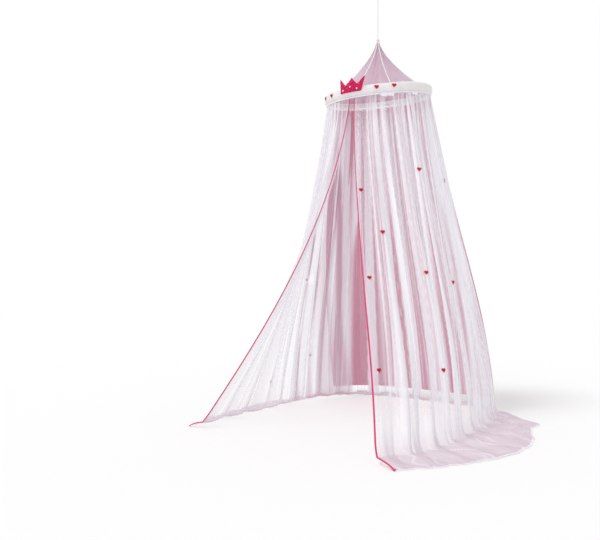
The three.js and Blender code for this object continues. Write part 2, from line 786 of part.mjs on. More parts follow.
// Flat-backed stones lie on the crown's puffed face, one under each point
function makeStones() {
  const outline = [
    [0, 0],
    [stoneRadius, 0],
    [stoneRadius, stoneHeight / 4],
    [stoneRadius * stoneFacetShare, stoneHeight],
    [0, stoneHeight],
  ];
  for (const [name, [across, up]] of Object.entries(stonePlaceShares)) {
    const stone = addPiece(ring, `crown_stone_${name}`, "stone", turned(outline, 8));
    const centre = crownPlace(across, up, crownRim + crownPuff + clearance);
    const outward = new THREE.Vector3(centre.x, centre.y, 0).normalize();
    stone.position.copy(centre);
    stone.quaternion.setFromUnitVectors(new THREE.Vector3(0, 0, 1), outward);
  }
}

// A heart from one closed formula, cut from felt with its edge turned over
function heartGeometry() {
  const outline = new THREE.Shape();
  const sides = 14;
  const curveWidth = 32;
  const unit = (heartWidth - 2 * heartBevel) / curveWidth;
  for (let side = 0; side < sides; side++) {
    const t = ((side + 0.5) * 2 * Math.PI) / sides;
    const x = 16 * Math.sin(t) ** 3;
    const y = 13 * Math.cos(t) - 5 * Math.cos(2 * t) - 2 * Math.cos(3 * t) - Math.cos(4 * t);
    if (side === 0) outline.moveTo(x * unit, y * unit);
    else outline.lineTo(x * unit, y * unit);
  }
  outline.closePath();
  const options = {
    depth: heartThickness,
    bevelThickness: heartBevel,
    bevelSize: heartBevel,
    bevelSegments: 1,
  };
  return new THREE.ExtrudeGeometry(outline, options).translate(0, 0, heartBevel);
}

// A heart's own Z is turned to look outward, with its point down
function faceOutward(heart, outward, upward) {
  const right = new THREE.Vector3().crossVectors(upward, outward).normalize();
  const up = new THREE.Vector3().crossVectors(outward, right);
  heart.quaternion.setFromRotationMatrix(new THREE.Matrix4().makeBasis(right, up, outward));
}

function makeBandHearts() {
  bandHeartAngles.forEach((turn, place) => {
    const heart = addPiece(ring, `band_heart_${place + 1}`, "heart", heartGeometry());
    const angle = -Math.PI / 2 + turn;
    const outward = new THREE.Vector3(Math.cos(angle), Math.sin(angle), 0);
    heart.position.copy(outward).multiplyScalar(crownBack).setZ(bandHeartLift);
    faceOutward(heart, outward, new THREE.Vector3(0, 0, 1));
  });
}

// Net hearts are stitched to the ridges of folds: how far across and how far down each one is
const netHeartShares = [
  [0.125, 0.7],
  [0.258, 0.66],
  [0.21, 0.49],
  [0.258, 0.28],
  [0.745, 0.277],
  [0.79, 0.494],
  [0.8375, 0.253],
  [0.883, 0.638],
  [0.883, 0.472],
  [0.958, 0.392],
  [0.992, 0.297],
  [0.992, 0.48],
  [0.992, 0.63],
];

function makeNetHearts() {
  netHeartShares.forEach(([across, down], place) => {
    const { point, normal } = ridgeNear(across, down);
    const heart = addPiece(canopy, `net_heart_${place + 1}`, "heart", heartGeometry());
    heart.position.copy(point).addScaledVector(normal, 2 * clearance);
    faceOutward(heart, normal, new THREE.Vector3(0, 0, 1));
  });
}

makePlate();
makeScrews();
makeHook();
makeLoop();
makeCordAndCollar();
makeBand();
makeHoop();
makeRoof();
makeTape();
makeNet();
makeBindings();
makeVoile();
makeCrown();
makeStones();
makeBandHearts();
makeNetHearts();

export default canopy;
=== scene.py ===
# A bed crown canopy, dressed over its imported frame: gathered net, voile, lined roof, padded band,
# crown and hearts. Metres, +Z up, -Y is the front, the origin is on the ceiling.
import math

import bpy
import numpy as np
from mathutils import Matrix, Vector


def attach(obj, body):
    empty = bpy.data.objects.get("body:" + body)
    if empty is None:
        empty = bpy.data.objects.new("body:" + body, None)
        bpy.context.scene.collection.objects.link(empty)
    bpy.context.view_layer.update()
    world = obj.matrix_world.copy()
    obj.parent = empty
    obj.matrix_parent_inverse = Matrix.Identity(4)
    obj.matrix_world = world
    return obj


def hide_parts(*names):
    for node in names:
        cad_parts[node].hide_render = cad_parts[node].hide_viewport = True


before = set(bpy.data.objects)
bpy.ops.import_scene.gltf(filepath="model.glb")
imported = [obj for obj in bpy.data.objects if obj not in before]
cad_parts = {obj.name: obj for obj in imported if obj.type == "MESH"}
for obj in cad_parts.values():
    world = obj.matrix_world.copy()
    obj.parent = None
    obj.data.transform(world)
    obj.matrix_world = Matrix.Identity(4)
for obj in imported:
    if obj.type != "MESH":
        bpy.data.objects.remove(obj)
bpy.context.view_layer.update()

print("frame loaded")

room = {"ceilingHeight": 2.700, "clearance": 0.0003}
ring = {"drop": 0.711, "tilt": math.radians(8.7), "radius": 0.314, "width": 0.034, "height": 0.054,
        "facets": 36}
tape = {"radius": 0.321, "thickness": 0.006, "height": 0.008}
tape["bottom"] = -ring["height"] / 2 - room["clearance"] - tape["height"]

# The photograph's view: a level camera at 0.85 m, with its horizon a little under the middle
view = {"at": (1.939, -3.498, 0.85), "ahead": (-0.587, 0.8096, 0.0), "focalPixels": 640,
        "imageWidth": 600, "horizonDrop": 10, "sensorWidth": 36}

# The waves of noise() are (share, pace), and its steps keep them from lining up
unevenness = {"waves": ((0.5, 3.1), (0.3, 7.3), (0.2, 17.9)), "seedStep": 2.3, "waveStep": 1.7}


def lerp(start, end, share):
    return start + (end - start) * share


# From 0 at start to 1 a width further on
def ramp(value, start, width):
    return np.clip((value - start) / width, 0, 1)


def bell(value, centre, half, power=2):
    return np.exp(-((value - centre) / half) ** power)


# A bell with a flat middle and steep sides
def strip(value, centre, half):
    return bell(value, centre, half, 4)


# From 0 towards 1, most of the way after one run
def settle(value, run):
    return 1 - np.exp(-value / run)


def signedPower(value, power):
    return np.sign(value) * np.abs(value) ** power


def unitLength(vectors):
    return vectors / np.linalg.norm(vectors, axis=-1, keepdims=True)


def direction(angle):
    return np.stack([np.cos(angle), np.sin(angle)], axis=-1)


# Where a path heads at v, which runs from 0 to 1 along it
def travel(placeAt, v, step=0.002):
    return unitLength(placeAt(np.minimum(1, v + step)) - placeAt(np.maximum(0, v - step)))


# Uneven values from low to high: rate is how fast they change, seed where they start. A setting that
# is called a noise is these four numbers.
def noise(value, low, high, rate, seed):
    total = 0 * value
    for turn, (share, pace) in enumerate(unevenness["waves"]):
        start = seed * unevenness["seedStep"] + turn * unevenness["waveStep"]
        total = total + share * np.sin(2 * math.pi * pace * rate * value + start)
    return lerp(low, high, 0.5 + 0.5 * total)


def addCamera():
    data = bpy.data.cameras.new("camera")
    data.sensor_width = view["sensorWidth"]
    data.lens = data.sensor_width * view["focalPixels"] / view["imageWidth"]
    data.shift_y = view["horizonDrop"] / view["imageWidth"]
    camera = bpy.data.objects.new("camera", data)
    bpy.context.scene.collection.objects.link(camera)
    camera.location = Vector(view["at"]) - Vector((0, 0, room["ceilingHeight"]))
    camera.rotation_euler = Vector(view["ahead"]).to_track_quat("-Z", "Y").to_euler()
    bpy.context.scene.camera = camera


# Where the net goes. across runs from 0, the left front edge, round the back to 1, the right front
# edge; down runs from 0, under the tape, to 1, the hem at the end of the train.
netFall = {
    "openingHalf": math.radians(3.5), "footX": 0.017, "footY": -0.200, "footHalfWidth": 0.635,
    "footBack": 0.830, "footFront": 0.752, "footSquareness": 3.5, "footLeft": math.radians(223.7),
    "footRight": math.radians(-55.8), "flare": 0.89, "leftFlare": 1.3, "flareSharpness": 6,
    "flareSweep": 0.2, "leftSweep": 0.43, "leftRun": 0.2, "leftSwing": 0.16, "swingRun": 0.1,
    "rightSweep": 0.3, "rightRun": 0.1, "fallPower": 1.31, "foldCount": 24, "foldDepth": 0.030,
    "foldRun": 0.15, "foldDrift": 0.006, "driftTurns": 3, "driftStart": 0.7, "foldUneven": 0.18,
    "unevenTurns": 7, "unevenStart": 1.1, "bendHeight": 0.036, "floorLift": 0.0036,
    "hemRipple": 0.020, "trainBase": 0.035, "trainLeft": 0.200, "trainRight": 0.289, "trainPower": 2.75,
    "trainLean": 0.34, "frontTrain": 0.060, "cornerTrain": 0.085, "cornerAngle": math.radians(39.7),
    "cornerSpread": math.radians(6.3), "trainFoldLoss": 0.8, "wall": 0.75,
}


def ringPoint(angle, radius, height):
    tilt = ring["tilt"]
    x = radius * np.cos(angle)
    y = radius * np.sin(angle)
    z = height + 0 * x
    return np.stack([x, y * math.cos(tilt) - z * math.sin(tilt),
                     y * math.sin(tilt) + z * math.cos(tilt) - ring["drop"]], axis=-1)


def placeOnNet(across):
    f = netFall
    ringAngle = lerp(1.5 * math.pi - f["openingHalf"], f["openingHalf"] - math.pi / 2, across)
    footAngle = lerp(f["footLeft"], f["footRight"], across)
    cos, sin = np.cos(footAngle), np.sin(footAngle)
    width, square = f["footHalfWidth"], f["footSquareness"]
    reach = np.where(sin > 0, f["footBack"], f["footFront"])
    leftness = np.maximum(0, 1 - across / f["leftRun"])
    rightness = np.maximum(0, 1 - (1 - across) / f["rightRun"])
    swing = 1 + f["leftSwing"] * np.maximum(0, 1 - across / f["swingRun"])
    corner = (np.abs(cos) / width) ** square + (np.abs(sin) / reach) ** square
    radius = swing * corner ** (-1 / square)
    foot = np.stack([f["footX"] + radius * cos, f["footY"] + radius * sin], axis=-1)
    steep = np.stack([signedPower(radius * cos / width, square - 1) / width,
                      signedPower(radius * sin / reach, square - 1) / reach], axis=-1)
    side = np.abs(cos) ** f["trainPower"]
    train = f["trainBase"] + side * np.where(cos < 0, f["trainLeft"], f["trainRight"])
    train = train + f["cornerTrain"] * bell(footAngle, f["cornerAngle"], f["cornerSpread"])
    train = train + f["frontTrain"] * rightness ** 2
    away = np.stack([cos, f["trainLean"] * sin], axis=-1)
    return ringAngle, foot, unitLength(steep), train, unitLength(away), (leftness, rightness)


def flare(fall, sides):
    f = netFall
    leftness, rightness = sides
    full = lerp(f["flare"], f["leftFlare"], leftness)
    power = 1 + f["flareSweep"] + f["leftSweep"] * leftness + f["rightSweep"] * rightness
    sharp = f["flareSharpness"]

    def ease(share):
        grown = (share / full) ** power
        return grown / (1 + grown ** sharp) ** (1 / sharp)

    return ease(fall) / ease(1.0)


def foldWave(across):
    f = netFall
    drift = f["foldDrift"] * np.sin(2 * math.pi * f["driftTurns"] * across + f["driftStart"])
    return np.cos(2 * math.pi * f["foldCount"] * (across + drift))


def foldReach(across, fall):
    f = netFall
    uneven = f["foldUneven"] * (1 - np.sin(2 * math.pi * f["unevenTurns"] * across + f["unevenStart"]))
    return f["foldDepth"] * (1 - uneven) * settle(fall, f["foldRun"])


# The share of the fall from the tape to the floor that is behind at this place
def fallAt(down):
    return np.minimum(1, down / netFall["wall"]) ** netFall["fallPower"]


# The share of the train that is behind at this place
def trainAt(down):
    return ramp(down, netFall["wall"], 1 - netFall["wall"])


# The net with its main folds; extra is how far a finer layer stands out from them, and keep is how
# much of the folds' hollows is left, since cloth between two folds bridges the hollow
def netPoints(across, down, extra=0.0, keep=1.0):
    f = netFall
    ringAngle, foot, steep, train, away, sides = placeOnNet(across)
    fall, along = fallAt(down), trainAt(down)
    top = ringPoint(ringAngle, tape["radius"] - tape["thickness"] / 4, tape["bottom"] - room["clearance"])
    spread = flare(fall, sides)[..., None]
    out = unitLength(lerp(direction(ringAngle), steep, spread))
    wave = foldWave(across)
    shaped = np.where(wave < 0, wave * keep, wave)
    stand = (shaped * foldReach(across, fall) * (1 - f["trainFoldLoss"] * along) + extra)[..., None]
    flat = lerp(top[..., :2], foot, spread) + out * stand + away * (train * along)[..., None]
    onWall = lerp(top[..., 2], f["bendHeight"] - room["ceilingHeight"], fall)
    ripple = f["hemRipple"] * (0.5 + wave / 2) * 4 * along * (1 - along)
    bend = (f["bendHeight"] - f["floorLift"]) * (1 - along) ** 3
    onFloor = f["floorLift"] - room["ceilingHeight"] + bend + ripple
    z = np.where(down > f["wall"], onFloor, onWall)
    return np.concatenate([flat, z[..., None]], axis=-1)


# Modelling helpers
def deselectAll():
    bpy.ops.object.select_all(action="DESELECT")


def activate(piece):
    deselectAll()
    piece.select_set(True)
    bpy.context.view_layer.objects.active = piece


# A grid is added and each of its points goes to place(u, v). wrap joins the last column to the
# first, cloth is the size in metres that its UV map is laid out in, and marks are functions of u and
# v that its material reads as attributes.
def gridPiece(name, columns, rows, place, cloth, wrap=False, marks=None):
    deselectAll()
    bpy.ops.mesh.primitive_grid_add(x_subdivisions=columns, y_subdivisions=rows, size=2)
    piece = bpy.context.active_object
    piece.name = piece.data.name = name
    mesh = piece.data
    co = np.empty(len(mesh.vertices) * 3)
    mesh.vertices.foreach_get("co", co)
    co = co.reshape(-1, 3)
    u, v = (co[:, 0] + 1) / 2, (co[:, 1] + 1) / 2
    mesh.vertices.foreach_set("co", np.ascontiguousarray(place(u, v)).ravel())
    corner = np.empty(len(mesh.loops), dtype=np.int32)
    mesh.loops.foreach_get("vertex_index", corner)
    uv = np.stack([u[corner] * cloth[0], v[corner] * cloth[1]], axis=-1)
    mesh.uv_layers[0].data.foreach_set("uv", uv.ravel())
    for label, mark in (marks or {}).items():
        layer = mesh.attributes.new(label, "FLOAT", "POINT")
        layer.data.foreach_set("value", np.ascontiguousarray(mark(u, v)))
    mesh.update()
    if wrap:
        mergeDoubles(piece)
    activate(piece)
    bpy.ops.object.shade_smooth()
    return piece


def mergeDoubles(piece, within=0.00002):
    activate(piece)
    bpy.ops.object.mode_set(mode="EDIT")
    bpy.ops.mesh.select_all(action="SELECT")
    bpy.ops.mesh.remove_doubles(threshold=within)
    bpy.ops.mesh.normals_make_consistent(inside=False)
    bpy.ops.object.mode_set(mode="OBJECT")


def joinPieces(pieces, name):
    deselectAll()
    for piece in pieces:
        piece.select_set(True)
    bpy.context.view_layer.objects.active = pieces[0]
    bpy.ops.object.join()
    joined = bpy.context.active_object
    joined.name = joined.data.name = name
    return joined


def dress(piece, material, body="canopy", stands=()):
    piece.data.materials.clear()
    piece.data.materials.append(material)
    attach(piece, body)
    if stands:
        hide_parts(*stands)


# Materials
def colour(red, green, blue):
    def linear(value):
        value /= 255
        return value / 12.92 if value <= 0.04045 else ((value + 0.055) / 1.055) ** 2.4
    return (linear(red), linear(green), linear(blue), 1)


def addNode(tree, kind, inputs=None, **settings):
    made = tree.nodes.new(kind)
    for key, value in settings.items():
        setattr(made, key, value)
    for key, value in (inputs or {}).items():
        if isinstance(value, bpy.types.NodeSocket):
            tree.links.new(value, made.inputs[key])
        else:
            made.inputs[key].default_value = value
    return made


def mathNode(tree, operation, first, second=0.0, clamp=False):
    return addNode(tree, "ShaderNodeMath", {0: first, 1: second}, operation=operation,
                   use_clamp=clamp).outputs[0]


# Places 6 and 7 are where this node takes its two colours
def mixColours(tree, share, first, second):
    return addNode(tree, "ShaderNodeMix", {0: share, 6: first, 7: second}, data_type="RGBA").outputs[2]


def remap(tree, value, low, high, fromLow=0.25, fromHigh=0.75):
    return addNode(tree, "ShaderNodeMapRange", {"Value": value, "From Min": fromLow, "From Max": fromHigh,
                                                "To Min": low, "To Max": high}).outputs[0]


def readMark(tree, label):
    return addNode(tree, "ShaderNodeAttribute", attribute_name=label).outputs["Fac"]


def newGroup(name, inputs, outputs):
    tree = bpy.data.node_groups.new(name, "ShaderNodeTree")
    for label, kind, value in inputs:
        socket = tree.interface.new_socket(label, in_out="INPUT", socket_type="NodeSocket" + kind)
        if value is not None:
            socket.default_value = value
    for label in outputs:
        tree.interface.new_socket(label, in_out="OUTPUT", socket_type="NodeSocketFloat")
    return tree, tree.nodes.new("NodeGroupInput"), tree.nodes.new("NodeGroupOutput")


# How cloth is woven. Streaks run down it and are long, a thread's holes open under meshFrom, and a
# layer that is seen edge on hides as much as 1 / leastFacing layers.
weaveLook = {"streakRun": 1.3, "streakDetail": 3.0, "streakRoughness": 0.55, "streakLayers": (0.8, 1.2),
             "leastFacing": 0.22, "meshFrom": 0.7, "relief": 0.0004}


# Threads that cross at right angles, with long streaks where the cloth is gathered closer
def makeWeaveGroup():
    tree, given, out = newGroup(
        "clothWeave", [("Cloth", "Vector", None), ("Threads", "Float", 600.0), ("Streaks", "Float", 60.0)],
        ["Thread", "Streak", "Height"])
    parts = addNode(tree, "ShaderNodeSeparateXYZ", {0: given.outputs["Cloth"]})
    turns = mathNode(tree, "MULTIPLY", given.outputs["Threads"], math.pi)
    warp = mathNode(tree, "SINE", mathNode(tree, "MULTIPLY", parts.outputs[0], turns))
    weft = mathNode(tree, "SINE", mathNode(tree, "MULTIPLY", parts.outputs[1], turns))
    thread = mathNode(tree, "MAXIMUM", mathNode(tree, "ABSOLUTE", warp), mathNode(tree, "ABSOLUTE", weft))
    along = addNode(tree, "ShaderNodeCombineXYZ", {
        0: mathNode(tree, "MULTIPLY", parts.outputs[0], given.outputs["Streaks"]),
        1: mathNode(tree, "MULTIPLY", parts.outputs[1], weaveLook["streakRun"])})
    streak = addNode(tree, "ShaderNodeTexNoise", {
        "Vector": along.outputs[0], "Scale": 1.0, "Detail": weaveLook["streakDetail"],
        "Roughness": weaveLook["streakRoughness"]})
    tree.links.new(thread, out.inputs["Thread"])
    tree.links.new(streak.outputs[0], out.inputs["Streak"])
    tree.links.new(mathNode(tree, "MULTIPLY", warp, weft), out.inputs["Height"])
    return tree


# Short fibres and soft lumps, for felt, cord and velvet
def makeFuzzGroup():
    tree, given, out = newGroup(
        "fibreFuzz", [("Place", "Vector", None), ("Fibres", "Float", 900.0), ("Lumps", "Float", 60.0)],
        ["Shade", "Height"])
    fibres, lumps = (addNode(tree, "ShaderNodeTexNoise", {
        "Vector": given.outputs["Place"], "Scale": given.outputs[label], "Detail": detail}).outputs[0]
        for label, detail in (("Fibres", 4.0), ("Lumps", 2.0)))
    shade = mathNode(tree, "ADD", mathNode(tree, "MULTIPLY", fibres, 0.5),
                     mathNode(tree, "MULTIPLY", lumps, 0.5))
    tree.links.new(shade, out.inputs["Shade"])
    tree.links.new(fibres, out.inputs["Height"])
    return tree


weaveGroup = makeWeaveGroup()
fuzzGroup = makeFuzzGroup()


def newMaterial(name, **uniform):
    material = bpy.data.materials.new(name)
    material.use_nodes = True
    shader = material.node_tree.nodes["Principled BSDF"]
    for key, value in uniform.items():
        shader.inputs[key.replace("_", " ")].default_value = value
    return material, material.node_tree, shader


def addBump(tree, shader, height, strength, distance):
    bump = addNode(tree, "ShaderNodeBump", {"Height": height, "Strength": strength, "Distance": distance})
    tree.links.new(bump.outputs[0], shader.inputs["Normal"])


# How much of what is behind a see-through cloth it hides
def seeThrough(tree, weave, cover, layered, openness, passes):
    look = weaveLook
    layers = remap(tree, weave.outputs["Streak"], *look["streakLayers"])
    if layered:
        layers = mathNode(tree, "MULTIPLY", layers, readMark(tree, "gather"))
    facing = addNode(tree, "ShaderNodeLayerWeight", {"Blend": 0.5}).outputs["Facing"]
    square = mathNode(tree, "MAXIMUM", mathNode(tree, "SUBTRACT", 1.0, facing), look["leastFacing"])
    layers = mathNode(tree, "DIVIDE", layers, square)
    holes = mathNode(tree, "SUBTRACT", weave.outputs["Thread"], look["meshFrom"])
    mesh = mathNode(tree, "MULTIPLY", holes, openness)
    bare = mathNode(tree, "POWER", 1 - cover, layers)
    alpha = mathNode(tree, "SUBTRACT", mathNode(tree, "ADD", mesh, 1.0), bare, clamp=True)
    if passes:
        rays = addNode(tree, "ShaderNodeLightPath")
        lit = mathNode(tree, "MAXIMUM", rays.outputs["Is Shadow Ray"], rays.outputs["Is Diffuse Ray"])
        kept = mathNode(tree, "SUBTRACT", 1.0, mathNode(tree, "MULTIPLY", lit, passes))
        alpha = mathNode(tree, "MULTIPLY", alpha, kept)
    return alpha


# Woven cloth on a piece's own UV map. cover is the share that one layer hides, openness how much its
# mesh shows, and through the tinted light that it lets by. passes is the share of direct and bounced
# light that goes on through the threads. lyingShade and shaded are colours of painted shade that the
# attributes of those names mix in: the train's shade where it lies on the floor, and the voile's
# shade in strips of the net. Cloth that has a lyingShade colour also reads from its "gather"
# attribute how many layers lie in one.
def clothMaterial(name, dark, light, cover, threads, streaks, relief, roughness=0.8, sheen=0.2,
                  through=0.0, lyingShade=None, shaded=None, openness=0.2, passes=0.0):
    material, tree, shader = newMaterial(name, Roughness=roughness, Sheen_Weight=sheen, Sheen_Roughness=0.5)
    if through:
        shader.inputs["Transmission Weight"].default_value = through
        shader.inputs["IOR"].default_value = 1.0
    uv = addNode(tree, "ShaderNodeUVMap")
    weave = addNode(tree, "ShaderNodeGroup", {"Cloth": uv.outputs[0], "Threads": threads,
                                              "Streaks": streaks}, node_tree=weaveGroup)
    shade = mixColours(tree, remap(tree, weave.outputs["Streak"], 0, 1), dark, light)
    for label, tint in (("lyingShade", lyingShade), ("shaded", shaded)):
        if tint:
            shade = mixColours(tree, readMark(tree, label), shade, tint)
    tree.links.new(shade, shader.inputs["Base Color"])
    if cover < 1:
        alpha = seeThrough(tree, weave, cover, lyingShade is not None, openness, passes)
        tree.links.new(alpha, shader.inputs["Alpha"])
    addBump(tree, shader, weave.outputs["Height"], relief, weaveLook["relief"])
    return material


# Felt, cord and velvet; stitch is the colour that the attribute of that name mixes in
def fuzzMaterial(name, dark, light, fibres, lumps, relief, roughness=0.9, sheen=0.4, specular=0.5,
                 distance=0.0006, stitch=None):
    material, tree, shader = newMaterial(name, Roughness=roughness, Sheen_Weight=sheen, Sheen_Roughness=0.4,
                                         Specular_IOR_Level=specular)
    place = addNode(tree, "ShaderNodeTexCoord")
    fuzz = addNode(tree, "ShaderNodeGroup", {"Place": place.outputs["Object"], "Fibres": fibres,
                                             "Lumps": lumps}, node_tree=fuzzGroup)
    shade = mixColours(tree, remap(tree, fuzz.outputs["Shade"], 0, 1, 0.35, 0.65), dark, light)
    if stitch:
        shade = mixColours(tree, readMark(tree, "stitch"), shade, stitch)
    tree.links.new(shade, shader.inputs["Base Color"])
    addBump(tree, shader, fuzz.outputs["Height"], relief, distance)
    return material


# Metal, enamel, plastic and stone, with fine marks that are darker and change the gloss
def hardMaterial(name, base, roughness, metallic=0.0, scratches=0.06, scale=300.0, worn=0.86):
    material, tree, shader = newMaterial(name, Metallic=metallic)
    place = addNode(tree, "ShaderNodeTexCoord")
    marks = addNode(tree, "ShaderNodeTexNoise", {"Vector": place.outputs["Object"], "Scale": scale,
                                                 "Detail": 3.0}).outputs[0]
    darker = tuple(worn * part for part in base[:3]) + (1,)
    tree.links.new(mixColours(tree, remap(tree, marks, 0, 1), darker, base), shader.inputs["Base Color"])
    tree.links.new(remap(tree, marks, roughness - scratches, roughness + scratches),
                   shader.inputs["Roughness"])
    return material


# Painted shade: the net's lyingShade colour is the shade painted on the train where it lies on the floor
netCloth = clothMaterial("net_cloth", colour(230, 226, 234), colour(242, 239, 245), 0.27, 420, 70, 0.15,
                         roughness=0.85, sheen=0.1, lyingShade=colour(213, 197, 207),
                         shaded=colour(190, 146, 168), openness=0.12, passes=0.86)
coverCloth = clothMaterial("roof_net", colour(221, 214, 225), colour(238, 234, 240), 0.13, 420, 40, 0.15,
                           roughness=0.85, sheen=0.1, passes=0.65)
seamCloth = clothMaterial("seam_cloth", colour(238, 234, 240), colour(252, 250, 252), 0.6, 600, 80, 0.3)
mauveCloth = clothMaterial("mauve_cloth", colour(176, 91, 120), colour(195, 111, 138), 0.93, 900, 50, 0.25,
                           through=0.24, passes=0.42)
liningCloth = clothMaterial("lining_cloth", colour(188, 146, 167), colour(201, 160, 180), 1, 900, 40,
                            0.25, through=0.25)
satinCloth = clothMaterial("ivory_satin", colour(223, 218, 219), colour(235, 231, 231), 1, 1400, 30, 0.12,
                           roughness=0.5, sheen=0.3)
bindingCloth = clothMaterial("pink_binding", colour(192, 22, 92), colour(222, 44, 118), 1, 1200, 60, 0.3,
                             roughness=0.5, sheen=0.3)
# The velvet's dark and light tones, spread in lumps, are partly its own mottled tone and partly painted shade
# and highlight of its crushed pile
velvetCloth = fuzzMaterial("pink_velvet", colour(150, 0, 56), colour(242, 6, 104), 700, 70, 0.2,
                           roughness=0.38, sheen=0.05, specular=0.3)
feltCloth = fuzzMaterial("rose_felt", colour(172, 2, 48), colour(204, 8, 70), 1800, 200, 0.4, sheen=0.04,
                         stitch=colour(96, 8, 34))
cordCloth = fuzzMaterial("white_cord", colour(214, 212, 218), colour(240, 238, 240), 1600, 300, 0.4)
collarPlastic = hardMaterial("ivory_plastic", colour(232, 226, 226), 0.4)
whiteEnamel = hardMaterial("white_enamel", colour(240, 239, 236), 0.28)
zincSteel = hardMaterial("zinc_steel", colour(196, 197, 200), 0.3, metallic=1.0)
stoneGlass = hardMaterial("clear_stone", colour(226, 236, 232), 0.08, metallic=0.35, scratches=0.02)
print("materials made")

# Pleats of the gathered net, finer than its main folds. tuck is how far the cloth doubles back in a
# pleat, slip how far gathers hang inside the spread of the cloth, and fine the narrow pleats on top,
# which are shallow at the left.
pleats = {
    "count": 58, "depth": 0.0085, "topDepth": 0.0016, "run": 0.06, "depthNoise": (0.5, 1.3, 2.7, 9.0),
    "driftNoise": (-0.01, 0.01, 1.0, 1.0), "sway": 0.003, "swayDown": 0.9, "swayAcross": 6.0,
    "tuckTop": 2.6, "tuckLow": 1.5, "tuckPower": 0.6, "tuckNoise": (0.35, 1.45, 4.1, 4.0),
    "slip": 0.02, "slipFrom": 0.2, "slipTo": 0.6, "edge": 0.014, "keep": 0.55,
    "fine": 137, "fineTuck": 0.45, "fineDepth": 0.0009, "fineLeast": 0.4, "fineRun": 0.2,
    "fineStart": 0.02, "fineLeft": 0.25, "fineLeftLeast": 0.1, "fineDrift": 0.004, "fineAcross": 31,
    "fineDown": 3, "bend": 0.024, "bendReach": 0.05, "bendSteps": (-1, -0.5, 0, 0.5, 1),
}

# Broad gathers of the net, in layers of cloth. Each near gather is (where under the tape, half width,
# how full, drift on the way down). A gap, (where, half width), leaves the net thin all the way, and a
# slit, (where, half width, start, end), only between two shares of the fall. A shade, (where, half
# width, drift), is a strip in the shade of the voile, painted through the "shaded" attribute. flat is
# where the net lies flat, at a heart.
gathers = {
    "thin": 0.5, "thick": 5.8, "bare": 0.15, "shade": 3.2, "low": 2.6, "train": 5.0, "trainRun": 0.15,
    "count": 31, "bandNoise": (0, 4.0, 2.3, 7.0), "cutNoise": (0.35, 0.8, 3.9, 3.0), "cutSoft": 0.18,
    "bandFar": 0.8, "bandNear": 0.1, "nearFrom": 0.57, "nearRun": 0.05,
    "lines": 149, "lineNoise": (0, 16.0, 3.7, 5.0), "lineSharp": 8, "lineFade": (0.3, 1.4, 6.1, 2.0),
    "lineFull": 0.5, "left": 0.3, "leftTo": 0.3, "leftRun": 0.06,
    "outer": (0.73, 0.06), "outerRun": 0.5, "outerFull": 0.42, "outerLine": 0.24,
    "topFull": 0.04, "topRun": 0.09, "gapTop": 0.6, "gapLow": 1.4, "slitOpens": 0.2, "slitCloses": 0.14,
    "slitLeast": 0.1, "slitFade": 0.15, "flat": (0.210, 0.49), "flatHalf": (0.022, 0.011),
    "flatClear": 0.95, "lowFall": (0.86, 0.14), "lowSide": (0.6, 0.1), "shadeTop": 0.3, "shadeLow": 1.5,
    "shadeFall": (0.12, 0.1), "shadeFade": 0.55,
    "near": ((0.961, 0.0018, 0.7, 0), (0.943, 0.0055, 1.0, 0), (0.919, 0.0040, 1.0, 0),
             (0.872, 0.0160, 0.35, 0), (0.842, 0.0030, 0.8, 0), (0.821, 0.0050, 1.0, 0),
             (0.803, 0.0020, 0.8, 0), (0.790, 0.0020, 0.8, 0), (0.755, 0.0080, 0.8, 0),
             (0.737, 0.0045, 0.8, 0), (0.701, 0.0055, 0.6, 0), (0.308, 0.0120, 1.0, 0.03),
             (0.345, 0.0100, 0.9, 0), (0.245, 0.0020, 1.0, 0.09), (0.279, 0.0030, 1.0, 0.012)),
    "gaps": ((0.972, 0.008), (0.931, 0.004), (0.903, 0.012), (0.850, 0.004), (0.832, 0.003),
             (0.812, 0.003), (0.772, 0.006), (0.719, 0.010)),
    "slits": ((0.327, 0.0095, -0.3, 0.26), (0.351, 0.0135, 0.3, 9)),
    "shades": ((0.252, 0.016, 0.035), (0.225, 0.0035, 0.03), (0.178, 0.004, 0.04), (0.283, 0.0085, 0.045)),
}

# Cloth of the train: painted shade where it lies on the floor, lifted along bright lines, and creases
# that run to its far corner
trainCloth = {
    "lead": 0.03, "run": 0.06, "lines": 97, "lineNoise": (0, 7, 2.1, 8.0), "lineSharp": 4,
    "fade": 0.75, "fadeNoise": (0, 1, 5, 1.0), "wander": 0.006, "wanderAlong": 5, "wanderAcross": 40,
    "lean": 0.012, "corner": (0.841, 0.471), "depth": 0.006, "level": 0.5, "swell": 0.31,
    "creases": 34, "creaseNoise": (0, 5, 1.3, 6.0), "small": 0.6, "smallCreases": 71, "smallLean": 3,
    "cornerRun": 0.25, "startRun": 0.12, "endRun": 0.06,
}


def smoothEdge(across):
    edge = np.clip(np.minimum(across, 1 - across) / pleats["edge"], 0, 1)
    return edge * edge * (3 - 2 * edge)


# Where a gather that starts at this place under the tape has got to: gathers hang straighter than
# the cloth spreads
def gatherPlace(across, down):
    share = ramp(across, pleats["slipFrom"], pleats["slipTo"] - pleats["slipFrom"])
    return across - pleats["slip"] * share * fallAt(down)


def pleatTurn(across, down):
    p = pleats
    sway = p["sway"] * np.sin(2 * math.pi * (p["swayDown"] * down + p["swayAcross"] * across)) * fallAt(down)
    return 2 * math.pi * p["count"] * (gatherPlace(across, down) + noise(across, *p["driftNoise"]) + sway)


def fineShare(across):
    return np.clip(across / pleats["fineLeft"], pleats["fineLeftLeast"], 1)


